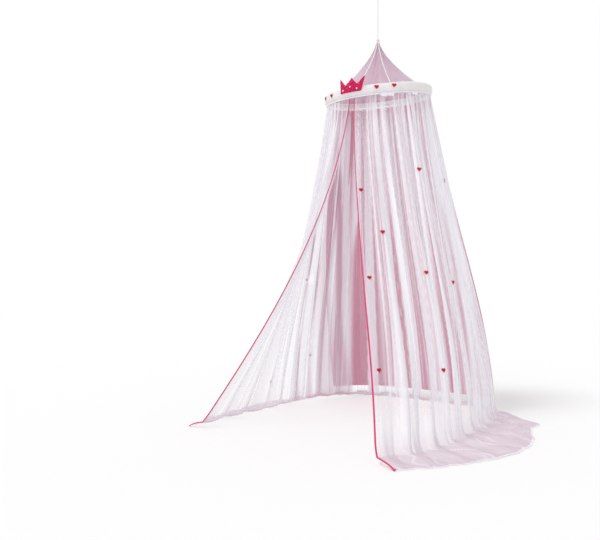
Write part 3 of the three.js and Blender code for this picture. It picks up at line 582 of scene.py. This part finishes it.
# Cloth places shift sideways in a pleat, so that the pleat doubles back on itself
def pleatShift(across, down):
    p = pleats
    fall = fallAt(down)
    tuck = lerp(p["tuckTop"], p["tuckLow"], fall ** p["tuckPower"]) * noise(across, *p["tuckNoise"])
    drift = p["fineDrift"] * np.sin(p["fineAcross"] * across + p["fineDown"] * down)
    fineTurn = 2 * math.pi * p["fine"] * (across + drift)
    fineTuck = p["fineTuck"] * lerp(1, p["fineLeast"], settle(fall, p["fineRun"])) * fineShare(across)
    shift = tuck * np.sin(pleatTurn(across, down)) / p["count"] + fineTuck * np.sin(fineTurn) / p["fine"]
    return np.clip(across + smoothEdge(across) * shift / (2 * math.pi), 0, 1), fineTurn


def shadeAt(place, fall):
    g = gathers
    shaded = sum(strip(place, centre + drift * fall, half * lerp(g["shadeTop"], g["shadeLow"], fall))
                 for centre, half, drift in g["shades"])
    return np.clip(shaded, 0, 1) * ramp(fall, *g["shadeFall"])


# How full the gathers are: soft bands and bright lines that keep their place from the tape to the
# hem, fewer near the right front, where the gathers are listed one by one, and weaker at the left front
def gatherFullness(across, place, fall):
    g = gathers
    wave = 0.5 + 0.5 * np.sin(2 * math.pi * g["count"] * place + noise(place, *g["bandNoise"]))
    band = np.clip((wave - noise(place, *g["cutNoise"])) / g["cutSoft"] + 0.5, 0, 1)
    band = band * lerp(g["bandFar"], g["bandNear"], ramp(across, g["nearFrom"], g["nearRun"]))
    line = np.sin(2 * math.pi * g["lines"] * place + noise(place, *g["lineNoise"]))
    line = np.maximum(0, line) ** g["lineSharp"] * noise(place, *g["lineFade"])
    left = ramp(g["leftTo"] - across, 0, g["leftRun"])
    amount = (band + g["lineFull"] * line) * lerp(1, g["left"], left)
    for centre, half, full, drift in g["near"]:
        amount = np.maximum(amount, full * strip(place, centre + drift * fall, half))
    outer = bell(across, *g["outer"]) * np.clip(1 - fall / g["outerRun"], 0, 1)
    amount = np.maximum(amount, outer * (g["outerFull"] + g["outerLine"] * line))
    return amount * np.clip(g["topFull"] + fall / g["topRun"], 0, 1)


# How many layers of cloth lie in one
def gatherAt(across, down):
    g = gathers
    across = pleatShift(across, down)[0]
    place = gatherPlace(across, down)
    fall = fallAt(down)
    layers = lerp(g["thin"], g["thick"], gatherFullness(across, place, fall))
    for centre, half in g["gaps"]:
        layers = lerp(layers, g["bare"], strip(place, centre, half * lerp(g["gapTop"], g["gapLow"], fall)))
    for centre, half, start, end in g["slits"]:
        opened = ramp(fall, start, g["slitOpens"]) * ramp(end - fall, 0, g["slitCloses"])
        slit = strip(place, centre, half * np.maximum(g["slitLeast"], opened))
        layers = lerp(layers, g["bare"], slit * np.minimum(1, opened / g["slitFade"]))
    layers = lerp(layers, g["shade"], shadeAt(place, fall))
    sewn = strip(across, g["flat"][0], g["flatHalf"][0]) * bell(down, g["flat"][1], g["flatHalf"][1])
    layers = layers * (1 - g["flatClear"] * sewn)
    low = g["low"] * ramp(fall, *g["lowFall"]) * ramp(across, *g["lowSide"])
    return np.maximum(layers, np.maximum(low, g["train"] * np.minimum(1, trainAt(down) / g["trainRun"])))


# Painted shade: how much of the train's darker, pinker shade colour is painted, less along bright lines
def lyingShadeAt(across, down):
    t = trainCloth
    along = trainAt(down)
    drift = across + t["wander"] * np.sin(t["wanderAlong"] * along + t["wanderAcross"] * across)
    drift = drift + t["lean"] * along
    bright = np.maximum(0, np.sin(2 * math.pi * t["lines"] * drift + noise(drift, *t["lineNoise"])))
    bright = bright ** t["lineSharp"] * noise(drift, *t["fadeNoise"])
    return ramp(down, netFall["wall"] - t["lead"], t["run"]) * (1 - t["fade"] * bright)


# Painted shade: how much of the voile's shade is painted into the net in its strips, less lower down
def shadedAt(across, down):
    fall = fallAt(down)
    place = gatherPlace(pleatShift(across, down)[0], down)
    return shadeAt(place, fall) * (1 - gathers["shadeFade"] * fall)


def trainCrease(points, along):
    t = trainCloth
    away = points[..., :2] - np.array(t["corner"])
    heading = np.arctan2(away[..., 1], away[..., 0])
    distance = np.linalg.norm(away, axis=-1)
    crease = np.sin(t["creases"] * heading + noise(distance, *t["creaseNoise"]))
    crease = crease + t["small"] * np.sin(t["smallCreases"] * heading + t["smallLean"] * distance)
    grown = np.minimum(1, distance / t["cornerRun"])
    grown = grown * np.minimum(1, along / t["startRun"]) * np.minimum(1, (1 - along) / t["endRun"])
    return t["depth"] * (t["level"] + t["swell"] * crease) * grown


# The net bends gently from the wall of cloth on to the floor
def bentNet(across, down, extra=0.0, keep=1.0):
    near = pleats["bend"] * bell(down, netFall["wall"], pleats["bendReach"])
    return sum(netPoints(across, np.clip(down + step * near, 0, 1), extra, keep)
               for step in pleats["bendSteps"]) / len(pleats["bendSteps"])


def pleatedNet(across, down):
    p = pleats
    fall = fallAt(down)
    edge = smoothEdge(across)
    shifted, fineTurn = pleatShift(across, down)
    depth = lerp(p["topDepth"], p["depth"], settle(fall, p["run"])) * noise(across, *p["depthNoise"])
    fine = p["fineDepth"] * np.sin(fineTurn) * np.minimum(1, fall / p["fineStart"]) * fineShare(across)
    stand = depth * (np.cos(pleatTurn(across, down)) - 1) + fine
    points = bentNet(shifted, down, edge * stand, p["keep"])
    points[..., 2] += edge * trainCrease(points, trainAt(down))
    return points


# The flat size is fitted to the modelled sheet, whose finest gathers are in its material and not in
# its folds. The real cut would be wider, about 1.75 by 2.50 m, recalled from such canopies.
panels = {"names": ["net_left_front", "net_left_side", "net_left_back", "net_right_back", "net_right_side",
                    "net_right_front"], "columns": 260, "rows": 120, "flat": (0.75, 2.45)}
netMarks = {"gather": gatherAt, "lyingShade": lyingShadeAt, "shaded": shadedAt}


def makeNet():
    made = []
    count = len(panels["names"])
    for index, name in enumerate(panels["names"]):
        marks = {label: lambda u, v, mark=mark: mark((index + u) / count, v)
                 for label, mark in netMarks.items()}
        piece = gridPiece(name + "_cloth", panels["columns"], panels["rows"],
                          lambda u, v: pleatedNet((index + u) / count, v), panels["flat"], marks=marks)
        dress(piece, netCloth, stands=[name])
        made.append(piece)
    return made


# Seams between the widths of net, and the narrow hem along the train. A seam's width is a share of
# the net's whole run.
seam = {"topWidth": 0.0028, "lowWidth": 0.0011, "lift": 0.0006, "columns": 4, "rows": 160,
        "cloth": (0.008, 2.5)}
hem = {"from": 0.993, "lift": 0.0008, "columns": 1400, "rows": 2, "cloth": (10.5, 0.012)}


def makeSeams():
    strips = []
    count = len(panels["names"])
    for index in range(1, count):
        def place(u, v, middle=index / count):
            width = lerp(seam["topWidth"], seam["lowWidth"], fallAt(v))
            points = pleatedNet(middle + (u - 0.5) * width, v)
            ringAngle = placeOnNet(np.array([middle]))[0]
            points[..., :2] += direction(ringAngle) * seam["lift"]
            return points
        strips.append(gridPiece("seam", seam["columns"], seam["rows"], place, seam["cloth"]))
    return joinPieces(strips, "net_seams")


def makeHem():
    def place(u, v):
        return pleatedNet(u, lerp(hem["from"], 1.0, v)) + np.array([0, 0, hem["lift"]])
    return gridPiece("net_hem", hem["columns"], hem["rows"], place, hem["cloth"])


# Hanging cord of three laid strands, its loop over the hook, and its two wound knots
cord = {"radius": 0.003, "top": -0.0803, "bottom": -0.3853, "pathSteps": 20, "columns": 18, "rows": 420,
        "strands": 3, "layLength": 0.017, "hollow": 0.8, "roundness": 0.7, "endRun": 0.0015,
        "loopSpread": 0.0058, "loopSeat": -0.041, "loopFoot": -0.0647, "legGap": 0.0033, "legFrom": 0.25,
        "loopLength": 0.066, "loopRows": 160, "knotRadius": 0.0080, "knotCord": 0.0026,
        "knotTurns": 2.6, "knotEnds": 0.3, "knotEndRun": 0.06, "knotSwell": 1.12, "knotColumns": 14,
        "knotRows": 150, "knots": {"loop_knot": (-0.080, -0.065), "cord_end_knot": (-0.3976, -0.3856)}}


def makeRope(name, centreAt, sideAt, radius, length, columns, rows):
    def place(u, v):
        ahead = travel(centreAt, v)
        side = sideAt(v)
        side = unitLength(side - ahead * np.sum(ahead * side, axis=-1, keepdims=True))
        turned = np.cross(ahead, side)
        angle = 2 * math.pi * u
        lay = 2 * math.pi * v * length / cord["layLength"]
        ends = np.clip(np.minimum(v, 1 - v) * length / cord["endRun"], 0, 1) ** 0.5
        strand = np.abs(np.cos(cord["strands"] / 2 * (angle - lay))) ** cord["roundness"]
        reach = radius * ends * lerp(cord["hollow"], 1, strand)
        return (centreAt(v) + side * (reach * np.cos(angle))[..., None]
                + turned * (reach * np.sin(angle))[..., None])

    return gridPiece(name, columns, rows, place, (2 * math.pi * radius, length), wrap=True)


def levelSide(v):
    return np.stack([1 + 0 * v, 0 * v, 0 * v], axis=-1)


def makeCord():
    length = cord["top"] - cord["bottom"]
    piece = makeRope("hanging_cord_rope",
                     lambda v: np.stack([0 * v, 0 * v, cord["bottom"] + length * v], axis=-1),
                     levelSide, cord["radius"], length, cord["columns"], cord["rows"])
    dress(piece, cordCloth, stands=["hanging_cord"])
    knots = makeKnots()
    makeLoop()


# The middle half of the loop bends over the hook, and its ends are the two legs
def makeLoop():
    def onLoop(v):
        spread, seat = cord["loopSpread"], cord["loopSeat"]
        legs = ramp(np.abs(v - 0.5), cord["legFrom"], 0.5 - cord["legFrom"])
        arc = math.pi * (1.5 - 2 * v)
        legY = -np.sign(0.5 - v) * lerp(spread, cord["legGap"], legs ** 2)
        y = np.where(legs > 0, legY, spread * np.cos(arc))
        z = np.where(legs > 0, lerp(seat, cord["loopFoot"], legs), seat + spread * np.sin(arc))
        return np.stack([0 * v, y, z], axis=-1)

    loop = makeRope("hanging_loop_rope", onLoop, levelSide, cord["radius"], cord["loopLength"],
                    cord["columns"], cord["loopRows"])
    dress(loop, cordCloth, body="ceiling_mount", stands=["hanging_loop"])


def makeKnots():
    made = {}
    small, turns = cord["knotCord"], cord["knotTurns"]
    middle = cord["knotRadius"] - small
    for name, (low, high) in cord["knots"].items():
        def centreAt(v, low=low, high=high):
            angle = 2 * math.pi * turns * v
            reach = middle * np.clip(np.minimum(v, 1 - v) / cord["knotEndRun"] + cord["knotEnds"], 0, 1)
            z = lerp(low + small, high - small, v)
            return np.stack([reach * np.cos(angle), reach * np.sin(angle), z], axis=-1)

        def sideAt(v):
            angle = 2 * math.pi * turns * v
            return np.stack([np.cos(angle), np.sin(angle), 0 * v], axis=-1)

        made[name] = makeRope(name + "_wraps", centreAt, sideAt, small * cord["knotSwell"],
                              2 * math.pi * turns * middle, cord["knotColumns"], cord["knotRows"])
        body = "ceiling_mount" if name == "loop_knot" else "canopy"
        dress(made[name], cordCloth, body=body, stands=[name])
    return made


# Bindings of the net's two front edges; the right one ends in a small knot on the floor
binding = {"topWidth": 0.0026, "halfWidth": 0.0048, "halfThickness": 0.0028, "fullAt": 0.5, "step": 0.0004,
           "endRun": 0.003, "endKnot": 0.9, "knotAt": 0.006, "knotHalf": 0.004, "columns": 14, "rows": 260,
           "cloth": (0.03, 2.5)}


def bindingPlace(edge, side):
    def edgeAt(v):
        return bentNet(0 * v + edge, v)

    def place(u, v):
        here = edgeAt(v)
        inward = unitLength(bentNet(0 * v + edge + side * binding["step"], v) - here)
        downward = travel(edgeAt, v)
        normal = unitLength(np.cross(downward, inward))
        inward = np.cross(normal, downward)
        angle = 2 * math.pi * u * side
        ends = np.clip(np.minimum(v, 1 - v) / binding["endRun"], 0, 1) ** 0.5
        knot = bell(1 - v, binding["knotAt"], binding["knotHalf"]) * (side < 0)
        ends = ends * (1 + binding["endKnot"] * knot)
        halfWidth = lerp(binding["topWidth"], binding["halfWidth"], np.minimum(1, v / binding["fullAt"]))
        across = (halfWidth * np.cos(angle) * ends)[..., None]
        out = (binding["halfThickness"] * np.sin(angle) * ends)[..., None]
        centre = here - inward * (halfWidth + room["clearance"])[..., None]
        centre[..., 2] += binding["halfThickness"] * np.maximum(0, ends - 1)
        return centre + inward * across + normal * out
    return place


def makeBindings():
    made = []
    for name, edge, side in (("left", 0.0, 1), ("right", 1.0, -1)):
        piece = gridPiece(f"edge_binding_{name}_cloth", binding["columns"], binding["rows"],
                          bindingPlace(edge, side), binding["cloth"], wrap=True)
        dress(piece, bindingCloth, stands=[f"edge_binding_{name}"])
        made.append(piece)
    return made


# Mauve voile: two widths outside the net at the left side and the back. Its edges are places on the
# net, under the tape and at its own hem. Its flat size too is fitted to the modelled sheet.
voile = {"standOff": 0.004, "foldCount": 14, "foldDepth": 0.003, "hemHeight": 0.080, "thickness": 0.0012,
         "edges": {"voile_left": ((0.228, 0.32), (0.45, 0.49)), "voile_back": ((0.45, 0.49), (0.650, 0.612))},
         "columns": 200, "rows": 120, "flat": (0.66, 1.93), "ripple": 0.0015, "rippleCount": 61,
         "rippleNoise": (0, 0.01, 1.0, 2.0)}


def voilePoints(across, down):
    fall = fallAt(down)
    seat = tape["thickness"] / 4 + (tape["thickness"] / 2 - voile["thickness"]) / 2
    grown = settle(fall, netFall["foldRun"])
    wave = 0.5 + 0.5 * np.cos(2 * math.pi * voile["foldCount"] * across)
    rippleTurn = 2 * math.pi * voile["rippleCount"] * (across + noise(across, *voile["rippleNoise"]))
    clear = voile["standOff"] + voile["foldDepth"] * wave + voile["ripple"] * np.sin(rippleTurn)
    crest = (1 - foldWave(across)) * foldReach(across, fall)
    return netPoints(across, down, seat + clear * grown + crest)


def makeVoile():
    fallen = 1 - (voile["hemHeight"] - netFall["bendHeight"]) / (room["ceilingHeight"] - ring["drop"])
    lowest = netFall["wall"] * fallen ** (1 / netFall["fallPower"])
    made = []
    for name, (start, end) in voile["edges"].items():
        def place(u, v):
            return voilePoints(lerp(lerp(*start, v), lerp(*end, v), u), v * lowest)
        piece = gridPiece(name + "_cloth", voile["columns"], voile["rows"], place, voile["flat"])
        dress(piece, mauveCloth, stands=[name])
        made.append(piece)
    return made


# Roof: eight gores of sheer white net over a mauve lining that sags more between the seams
roof = {"gores": 8, "hemDrop": -0.004, "hollow": 1.43, "neckMiddle": -0.374, "coverTop": 0.0096,
        "liningTop": 0.0073, "layerStep": 0.0023, "coverSag": 0.005, "liningSag": 0.017,
        "coverThickness": 0.0012, "coverWrinkle": 0.0006, "liningWrinkle": 0.0012, "wrinkles": 9,
        "wrinkleLean": 3, "columns": 320, "rows": 90, "cloth": (1.9, 0.5), "seamWidth": 0.006,
        "seamLength": 0.5, "seamLift": 0.0008, "seamColumns": 4, "seamRows": 60}


def roofPoints(u, v, topRadius, hemRadius, sag, wrinkle):
    angle = -2 * math.pi * u
    radial = direction(angle)
    hemPoint = ringPoint(angle, hemRadius, -roof["hemDrop"])
    spread = (v ** roof["hollow"])[..., None]
    between = roof["gores"] * angle / 2
    pull = np.sin(roof["wrinkles"] * between + roof["wrinkleLean"] * v) * wrinkle
    drop = ((sag * np.sin(between) ** 2 + pull) * np.sin(math.pi * v))[..., None]
    flat = lerp(radial * topRadius, hemPoint[..., :2], spread) - radial * drop
    z = lerp(roof["neckMiddle"], hemPoint[..., 2], v)
    return np.concatenate([flat, z[..., None]], axis=-1)


def makeRoofSeams(coverHem):
    strips = []
    for gore in range(roof["gores"]):
        def place(u, v, middle=gore / roof["gores"]):
            radius = lerp(roof["coverTop"], coverHem, v ** roof["hollow"])
            width = roof["seamWidth"] / (2 * math.pi * radius)
            points = roofPoints(middle + (u - 0.5) * width, v, roof["coverTop"], coverHem, 0, 0)
            return points + np.array([0, 0, roof["seamLift"]])
        strips.append(gridPiece("seam", roof["seamColumns"], roof["seamRows"], place,
                                (roof["seamWidth"], roof["seamLength"])))
    seams = joinPieces(strips, "roof_seams")
    dress(seams, seamCloth)
    return seams


def makeRoof():
    innerFace = (ring["radius"] - ring["width"] / 2) * math.cos(math.pi / ring["facets"])
    coverHem = innerFace - room["clearance"] - roof["coverThickness"] / 2
    liningHem = coverHem - roof["layerStep"] - 2 * room["clearance"]
    made = []
    for layer, material, slot, hemRadius in (("cover", coverCloth, "white_net", coverHem),
                                             ("lining", liningCloth, "mauve_lining", liningHem)):
        top, sag, wrinkle = (roof[layer + part] for part in ("Top", "Sag", "Wrinkle"))
        piece = gridPiece(f"roof_{layer}_cloth", roof["columns"], roof["rows"],
                          lambda u, v: roofPoints(u, v, top, hemRadius, sag, wrinkle), roof["cloth"],
                          wrap=True)
        dress(piece, material, stands=["roof_" + layer])
        made.append(piece)
    return made, makeRoofSeams(coverHem)


# Padded band: satin round wadding, drawn in a little where it is stitched
band = {"puckers": 52, "puckerDepth": 0.0011, "puckerNoise": (0, 0.004, 3.0, 5.0), "puckerPower": 3,
        "ruffle": 0.0009, "ruffles": 148, "ruffleSwing": 2.5, "ruffleLean": 9, "ruffleLeast": 0.3,
        "inset": 0.0006, "waveNoise": (-0.0022, 0.0022, 1.6, 8.0), "fullness": 0.78, "columns": 520,
        "rows": 44, "cloth": (2.0, 0.17)}


def bandPlace(u, v):
    turn = 2 * math.pi * v
    halfWidth, halfHeight = ring["width"] / 2, ring["height"] / 2
    puckerTurn = 2 * math.pi * band["puckers"] * (u + noise(u, *band["puckerNoise"]))
    pucker = band["puckerDepth"] * (0.5 - 0.5 * np.cos(puckerTurn))
    edge = np.abs(np.sin(turn)) ** band["puckerPower"]
    swing = band["ruffleSwing"] * np.sin(turn + band["ruffleLean"] * u * math.pi)
    ruffle = band["ruffle"] * np.sin(2 * math.pi * band["ruffles"] * u + swing)
    inset = pucker * edge + ruffle * lerp(band["ruffleLeast"], 1, edge) + band["inset"]
    radius = ring["radius"] + (halfWidth - inset) * signedPower(np.cos(turn), band["fullness"])
    height = (halfHeight - inset) * signedPower(np.sin(turn), band["fullness"])
    return ringPoint(-2 * math.pi * u, radius, height + noise(u, *band["waveNoise"]))


def makeBand():
    piece = gridPiece("ring_band_padding", band["columns"], band["rows"], bandPlace, band["cloth"],
                      wrap=True)
    dress(piece, satinCloth, stands=["ring_band"])


# Marks of net that isn't part of the fall: as many layers everywhere, and none of it on the floor, so
# no painted shade of the train
def evenMarks(layers):
    return {"gather": lambda u, v: layers + 0 * u, "lyingShade": lambda u, v: 0 * u}


# Heading tape under the band, gathered in narrow tucks
tapeCloth = {"inset": 0.0006, "tuck": 0.0006, "tucks": 170, "squareness": 0.5, "layers": 8.0,
             "columns": 1020, "rows": 16, "cloth": (2.05, 0.04)}


def makeTape():
    t = tapeCloth
    halfThickness, halfHeight = tape["thickness"] / 2, tape["height"] / 2

    def place(u, v):
        turn = 2 * math.pi * v
        tuck = t["tuck"] * np.sin(2 * math.pi * t["tucks"] * u)
        reach = (halfThickness - t["inset"] + tuck) * signedPower(np.cos(turn), t["squareness"])
        rise = halfHeight * signedPower(np.sin(turn), t["squareness"])
        return ringPoint(-2 * math.pi * u, tape["radius"] + reach, tape["bottom"] + halfHeight + rise)

    piece = gridPiece("heading_tape_cloth", t["columns"], t["rows"], place, t["cloth"], wrap=True,
                      marks=evenMarks(t["layers"]))
    dress(piece, netCloth, stands=["heading_tape"])


# Crown: a puffed velvet piece, dimpled where its three stones are sewn on. Rays run out from each
# dimple, and each crumple is (its heading, its length).
crown = {"bottomWidth": 0.137, "topWidth": 0.164, "height": 0.085, "middleHeight": 0.082,
         "notchHeight": 0.042, "notch": 0.5, "innerPower": 0.8, "outerPower": 1.1, "lift": 0.024,
         "turn": math.radians(3.2), "lean": 0.22, "rim": 0.003, "puff": 0.009, "sideRise": 2.4,
         "endRise": 3.0, "sideMost": 0.9999, "frontShare": 0.7, "columns": 200, "rows": 110,
         "cloth": (0.16, 0.2),
         "stones": {"left": (-0.62, 0.30), "middle": (0.0, 0.36), "right": (0.62, 0.30)},
         "dimple": 0.0042, "dimpleHalf": 0.008, "ray": 0.0011, "rays": 7, "rayAt": 0.012, "rayHalf": 0.011,
         "crumples": ((0.4, 0.019), (1.3, 0.014), (2.2, 0.023), (2.9, 0.011)), "crumple": 0.0013,
         "crumpleStart": 4, "crumpleSwing": 1.5, "crumplePace": 180, "creaseRun": 0.008}
crown["back"] = ring["radius"] + ring["width"] / 2 + room["clearance"]


def crownTop(across):
    inner = np.abs(across) / crown["notch"]
    outer = ramp(np.abs(across), crown["notch"], 1 - crown["notch"])
    low = lerp(crown["middleHeight"], crown["notchHeight"], np.minimum(1, inner) ** crown["innerPower"])
    return np.where(inner < 1, low, lerp(crown["notchHeight"], crown["height"], outer ** crown["outerPower"]))


def crownPoints(across, up, depth):
    height = up * crownTop(across)
    halfWidth = lerp(crown["bottomWidth"], crown["topWidth"], height / crown["height"]) / 2
    lean = crown["lean"] * (height - crown["height"])
    angle = crown["turn"] - math.pi / 2 + (across * halfWidth + lean) / crown["back"]
    return ringPoint(angle, crown["back"] + depth, height + crown["lift"] - ring["height"] / 2)


# One crumple: a wave along its heading that is bent by another across it
def crumpleWave(x, y, heading, length):
    ahead = x * math.cos(heading) + y * math.sin(heading)
    aside = x * math.sin(heading) - y * math.cos(heading)
    swing = crown["crumpleSwing"] * np.sin(crown["crumplePace"] * aside)
    return np.sin(2 * math.pi * ahead / length + crown["crumpleStart"] * heading + swing)


def crownDepth(across, up):
    ends = crown["endRise"] * np.minimum(up, 1 - up)
    edge = np.minimum(1, np.minimum(crown["sideRise"] * (1 - np.abs(across)), ends))
    full = (crown["rim"] + crown["puff"]) * np.sqrt(np.maximum(0, 1 - (1 - edge) ** 2))
    fold = 0 * full
    for spot, (stoneAcross, stoneUp) in enumerate(crown["stones"].values()):
        x = (across - stoneAcross) * crown["bottomWidth"] / 2
        y = (up - stoneUp) * crownTop(across)
        distance = np.hypot(x, y)
        ray = np.cos(crown["rays"] * np.arctan2(y, x) + spot)
        ray = ray * bell(distance, crown["rayAt"], crown["rayHalf"])
        fold = fold - crown["dimple"] * bell(distance, 0, crown["dimpleHalf"]) + crown["ray"] * ray
    x = across * crown["bottomWidth"] / 2
    y = up * crownTop(across)
    fold = fold + crown["crumple"] * sum(crumpleWave(x, y, *crumple) for crumple in crown["crumples"])
    return np.maximum(0, full + fold * np.minimum(1, full / crown["creaseRun"]))


def makeCrown():
    share = crown["frontShare"]

    def place(u, v):
        across = np.clip(2 * u - 1, -crown["sideMost"], crown["sideMost"])
        front = v <= share
        up = np.where(front, v / share, (1 - v) / (1 - share))
        return crownPoints(across, up, np.where(front, crownDepth(across, up), 0.0))

    piece = gridPiece("crown_velvet", crown["columns"], crown["rows"], place, crown["cloth"], wrap=True)
    dress(piece, velvetCloth, stands=["crown"])


# Felt hearts, modelled once and copied to each heart's own place and facing, with a stitch in the
# middle. The outline is the usual heart curve, curveWidth of its units wide.
heart = {"width": 0.026, "thickness": 0.0016, "puff": 0.0022, "sideShare": 0.2, "domePower": 3,
         "columns": 64, "rows": 16, "cloth": (0.08, 0.02), "curveWidth": 32, "stitch": 0.0024,
         "stitchDepth": 0.0008, "stitchFrom": 0.86}


def makeHeartShape():
    unit = heart["width"] / heart["curveWidth"]

    def place(u, v):
        t = -2 * math.pi * u
        grown = np.clip((1 - v) / (1 - heart["sideShare"]), 0, 1)
        x = 16 * np.sin(t) ** 3 * unit * grown
        y = (13 * np.cos(t) - 5 * np.cos(2 * t) - 2 * np.cos(3 * t) - np.cos(4 * t)) * unit * grown
        dent = heart["stitchDepth"] * bell(np.hypot(x, y), 0, heart["stitch"])
        side = heart["thickness"] * np.minimum(1, v / heart["sideShare"])
        dome = heart["puff"] * np.sqrt(np.maximum(0, 1 - grown ** heart["domePower"]))
        return np.stack([x, y, np.maximum(0, side + dome - dent)], axis=-1)

    return gridPiece("heart", heart["columns"], heart["rows"], place, heart["cloth"], wrap=True,
                     marks={"stitch": lambda u, v: 1.0 * (v > heart["stitchFrom"])})


def nodePoints(name):
    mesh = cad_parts[name].data
    co = np.empty(len(mesh.vertices) * 3)
    mesh.vertices.foreach_get("co", co)
    return co.reshape(-1, 3)


# A heart faces the way in which its solid is thinnest, and its back lies on the solid's own back
def makeHearts():
    shape = makeHeartShape()
    for name in sorted(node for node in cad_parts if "heart" in node):
        points = nodePoints(name)
        middle = (points.max(axis=0) + points.min(axis=0)) / 2
        facing = np.linalg.svd(points - points.mean(axis=0), full_matrices=False)[2][2]
        outward = Vector(facing if facing[:2] @ middle[:2] > 0 else -facing)
        upward = (Vector((0, 0, 1)) - outward * outward.z).normalized()
        sideways = upward.cross(outward)
        back = min(points @ np.array(outward))
        seat = Vector(middle) + outward * (back - Vector(middle).dot(outward))
        copy = shape.copy()
        copy.data = shape.data.copy()
        copy.name = copy.data.name = name + "_felt"
        bpy.context.scene.collection.objects.link(copy)
        for vertex in copy.data.vertices:
            x, y, z = vertex.co
            vertex.co = seat + sideways * x + upward * y + outward * z
        dress(copy, feltCloth, stands=[name])
    bpy.data.objects.remove(shape)


# Small ruffles of net, tied under the band: outside it at the front and inside it at the back
tuft = {"reach": 0.024, "root": 0.003, "halfTurn": math.radians(58), "pleats": 7, "pleatDepth": 0.0032,
        "standOff": 0.002, "lean": 0.004, "frill": 0.12, "frills": 5, "droop": 0.1, "droops": 3,
        "layers": 9.0, "columns": 70, "rows": 12, "cloth": (0.11, 0.024),
        "near": (-0.97, -0.86, -0.38), "far": (1.95, 2.35)}


def tuftPlace(angle, side):
    radius = tape["radius"] + side * (tape["thickness"] / 2 + tuft["standOff"])

    def place(u, v):
        turn = tuft["halfTurn"] * (2 * u - 1)
        reach = tuft["root"] + tuft["reach"] * v * (1 - tuft["frill"] * np.cos(tuft["frills"] * turn))
        droop = 1 - tuft["droop"] + tuft["droop"] * np.cos(tuft["droops"] * turn + angle)
        pleat = tuft["pleatDepth"] * np.sin(2 * math.pi * tuft["pleats"] * u + angle) * v
        out = side * (tuft["lean"] + tuft["pleatDepth"]) * v + pleat
        return ringPoint(angle + reach * np.sin(turn) / radius, radius + out,
                         tape["bottom"] + tape["height"] - reach * np.cos(turn) * droop)
    return place


def makeTufts():
    made = []
    for side, angles in ((1, tuft["near"]), (-1, tuft["far"])):
        for angle in angles:
            made.append(gridPiece("tuft", tuft["columns"], tuft["rows"], tuftPlace(angle, side),
                                  tuft["cloth"], marks=evenMarks(tuft["layers"])))
    tufts = joinPieces(made, "net_tufts")
    dress(tufts, netCloth)
    return tufts


def main():
    addCamera()
    makeCord()
    print("camera and cord made")
    nets = makeNet()
    netSeams = makeSeams()
    dress(netSeams, seamCloth)
    netHem = makeHem()
    dress(netHem, seamCloth)
    bindings = makeBindings()
    print("net made")
    voiles = makeVoile()
    roofs, roofSeams = makeRoof()
    makeBand()
    makeTape()
    makeCrown()
    makeHearts()
    tufts = makeTufts()
    print("roof, band, crown and hearts made")


main()


# The rigid pieces are the frame's own solids
frameLooks = ((whiteEnamel, ["ceiling_plate"]),
              (zincSteel, ["ceiling_screw_left", "ceiling_screw_right", "ceiling_hook", "hook_nut",
                           "hoop_left", "hoop_right", "hoop_joiner_front", "hoop_joiner_back"]),
              (collarPlastic, ["roof_collar"]),
              (stoneGlass, ["crown_stone_left", "crown_stone_middle", "crown_stone_right"]))


def dressFrame():
    for look, names in frameLooks:
        for name in names:
            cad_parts[name].data.materials.clear()
            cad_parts[name].data.materials.append(look)


dressFrame()
print("rigid pieces finished")

# White floor that keeps the canopy's soft shadow, and an even white room, which the camera and
# mirroring surfaces see at full white. Each sun is (name, energy, angle in degrees, heading), and
# sheerLayers is how many see-through layers a view goes through.
stage = {"floorSize": 24, "floorShade": 0.9, "floorGlow": 0.03, "roomLight": 0.76, "sheerLayers": 48,
         "suns": (("soft_sun", 1.15, 18, (0.20, 0.50, -0.84)), ("front_fill", 0.85, 60, (-0.42, 0.88, 0.22)))}


def makeFloor():
    deselectAll()
    bpy.ops.mesh.primitive_plane_add(size=stage["floorSize"], location=(0, 0, -room["ceilingHeight"]))
    floor = bpy.context.active_object
    floor.name = "floor"
    material, tree, shader = newMaterial("floor_white", Roughness=0.9, Specular_IOR_Level=0.0,
                                         Base_Color=(stage["floorShade"],) * 3 + (1,),
                                         Emission_Color=(1, 1, 1, 1))
    rays = addNode(tree, "ShaderNodeLightPath")
    tree.links.new(mathNode(tree, "MULTIPLY", rays.outputs["Is Camera Ray"], stage["floorGlow"]),
                   shader.inputs["Emission Strength"])
    floor.data.materials.append(material)


def makeRoom():
    world = bpy.data.worlds.new("room")
    bpy.context.scene.world = world
    world.use_nodes = True
    tree = world.node_tree
    background = tree.nodes["Background"]
    background.inputs["Color"].default_value = (1, 1, 1, 1)
    rays = addNode(tree, "ShaderNodeLightPath").outputs
    mirrored = mathNode(tree, "MAXIMUM", rays["Is Glossy Ray"], rays["Is Transmission Ray"])
    seen = mathNode(tree, "MAXIMUM", rays["Is Camera Ray"], mirrored)
    tree.links.new(remap(tree, seen, stage["roomLight"], 1.0, 0.0, 1.0), background.inputs["Strength"])


def addSuns():
    for name, energy, angle, heading in stage["suns"]:
        lamp = bpy.data.lights.new(name, "SUN")
        lamp.energy = energy
        lamp.angle = math.radians(angle)
        sun = bpy.data.objects.new(name, lamp)
        bpy.context.scene.collection.objects.link(sun)
        sun.rotation_euler = Vector(heading).to_track_quat("-Z", "Y").to_euler()


makeFloor()
makeRoom()
addSuns()
print("floor, room and lights made")
scene = bpy.context.scene
scene.view_settings.view_transform = "Standard"
scene.cycles.transparent_max_bounces = stage["sheerLayers"]
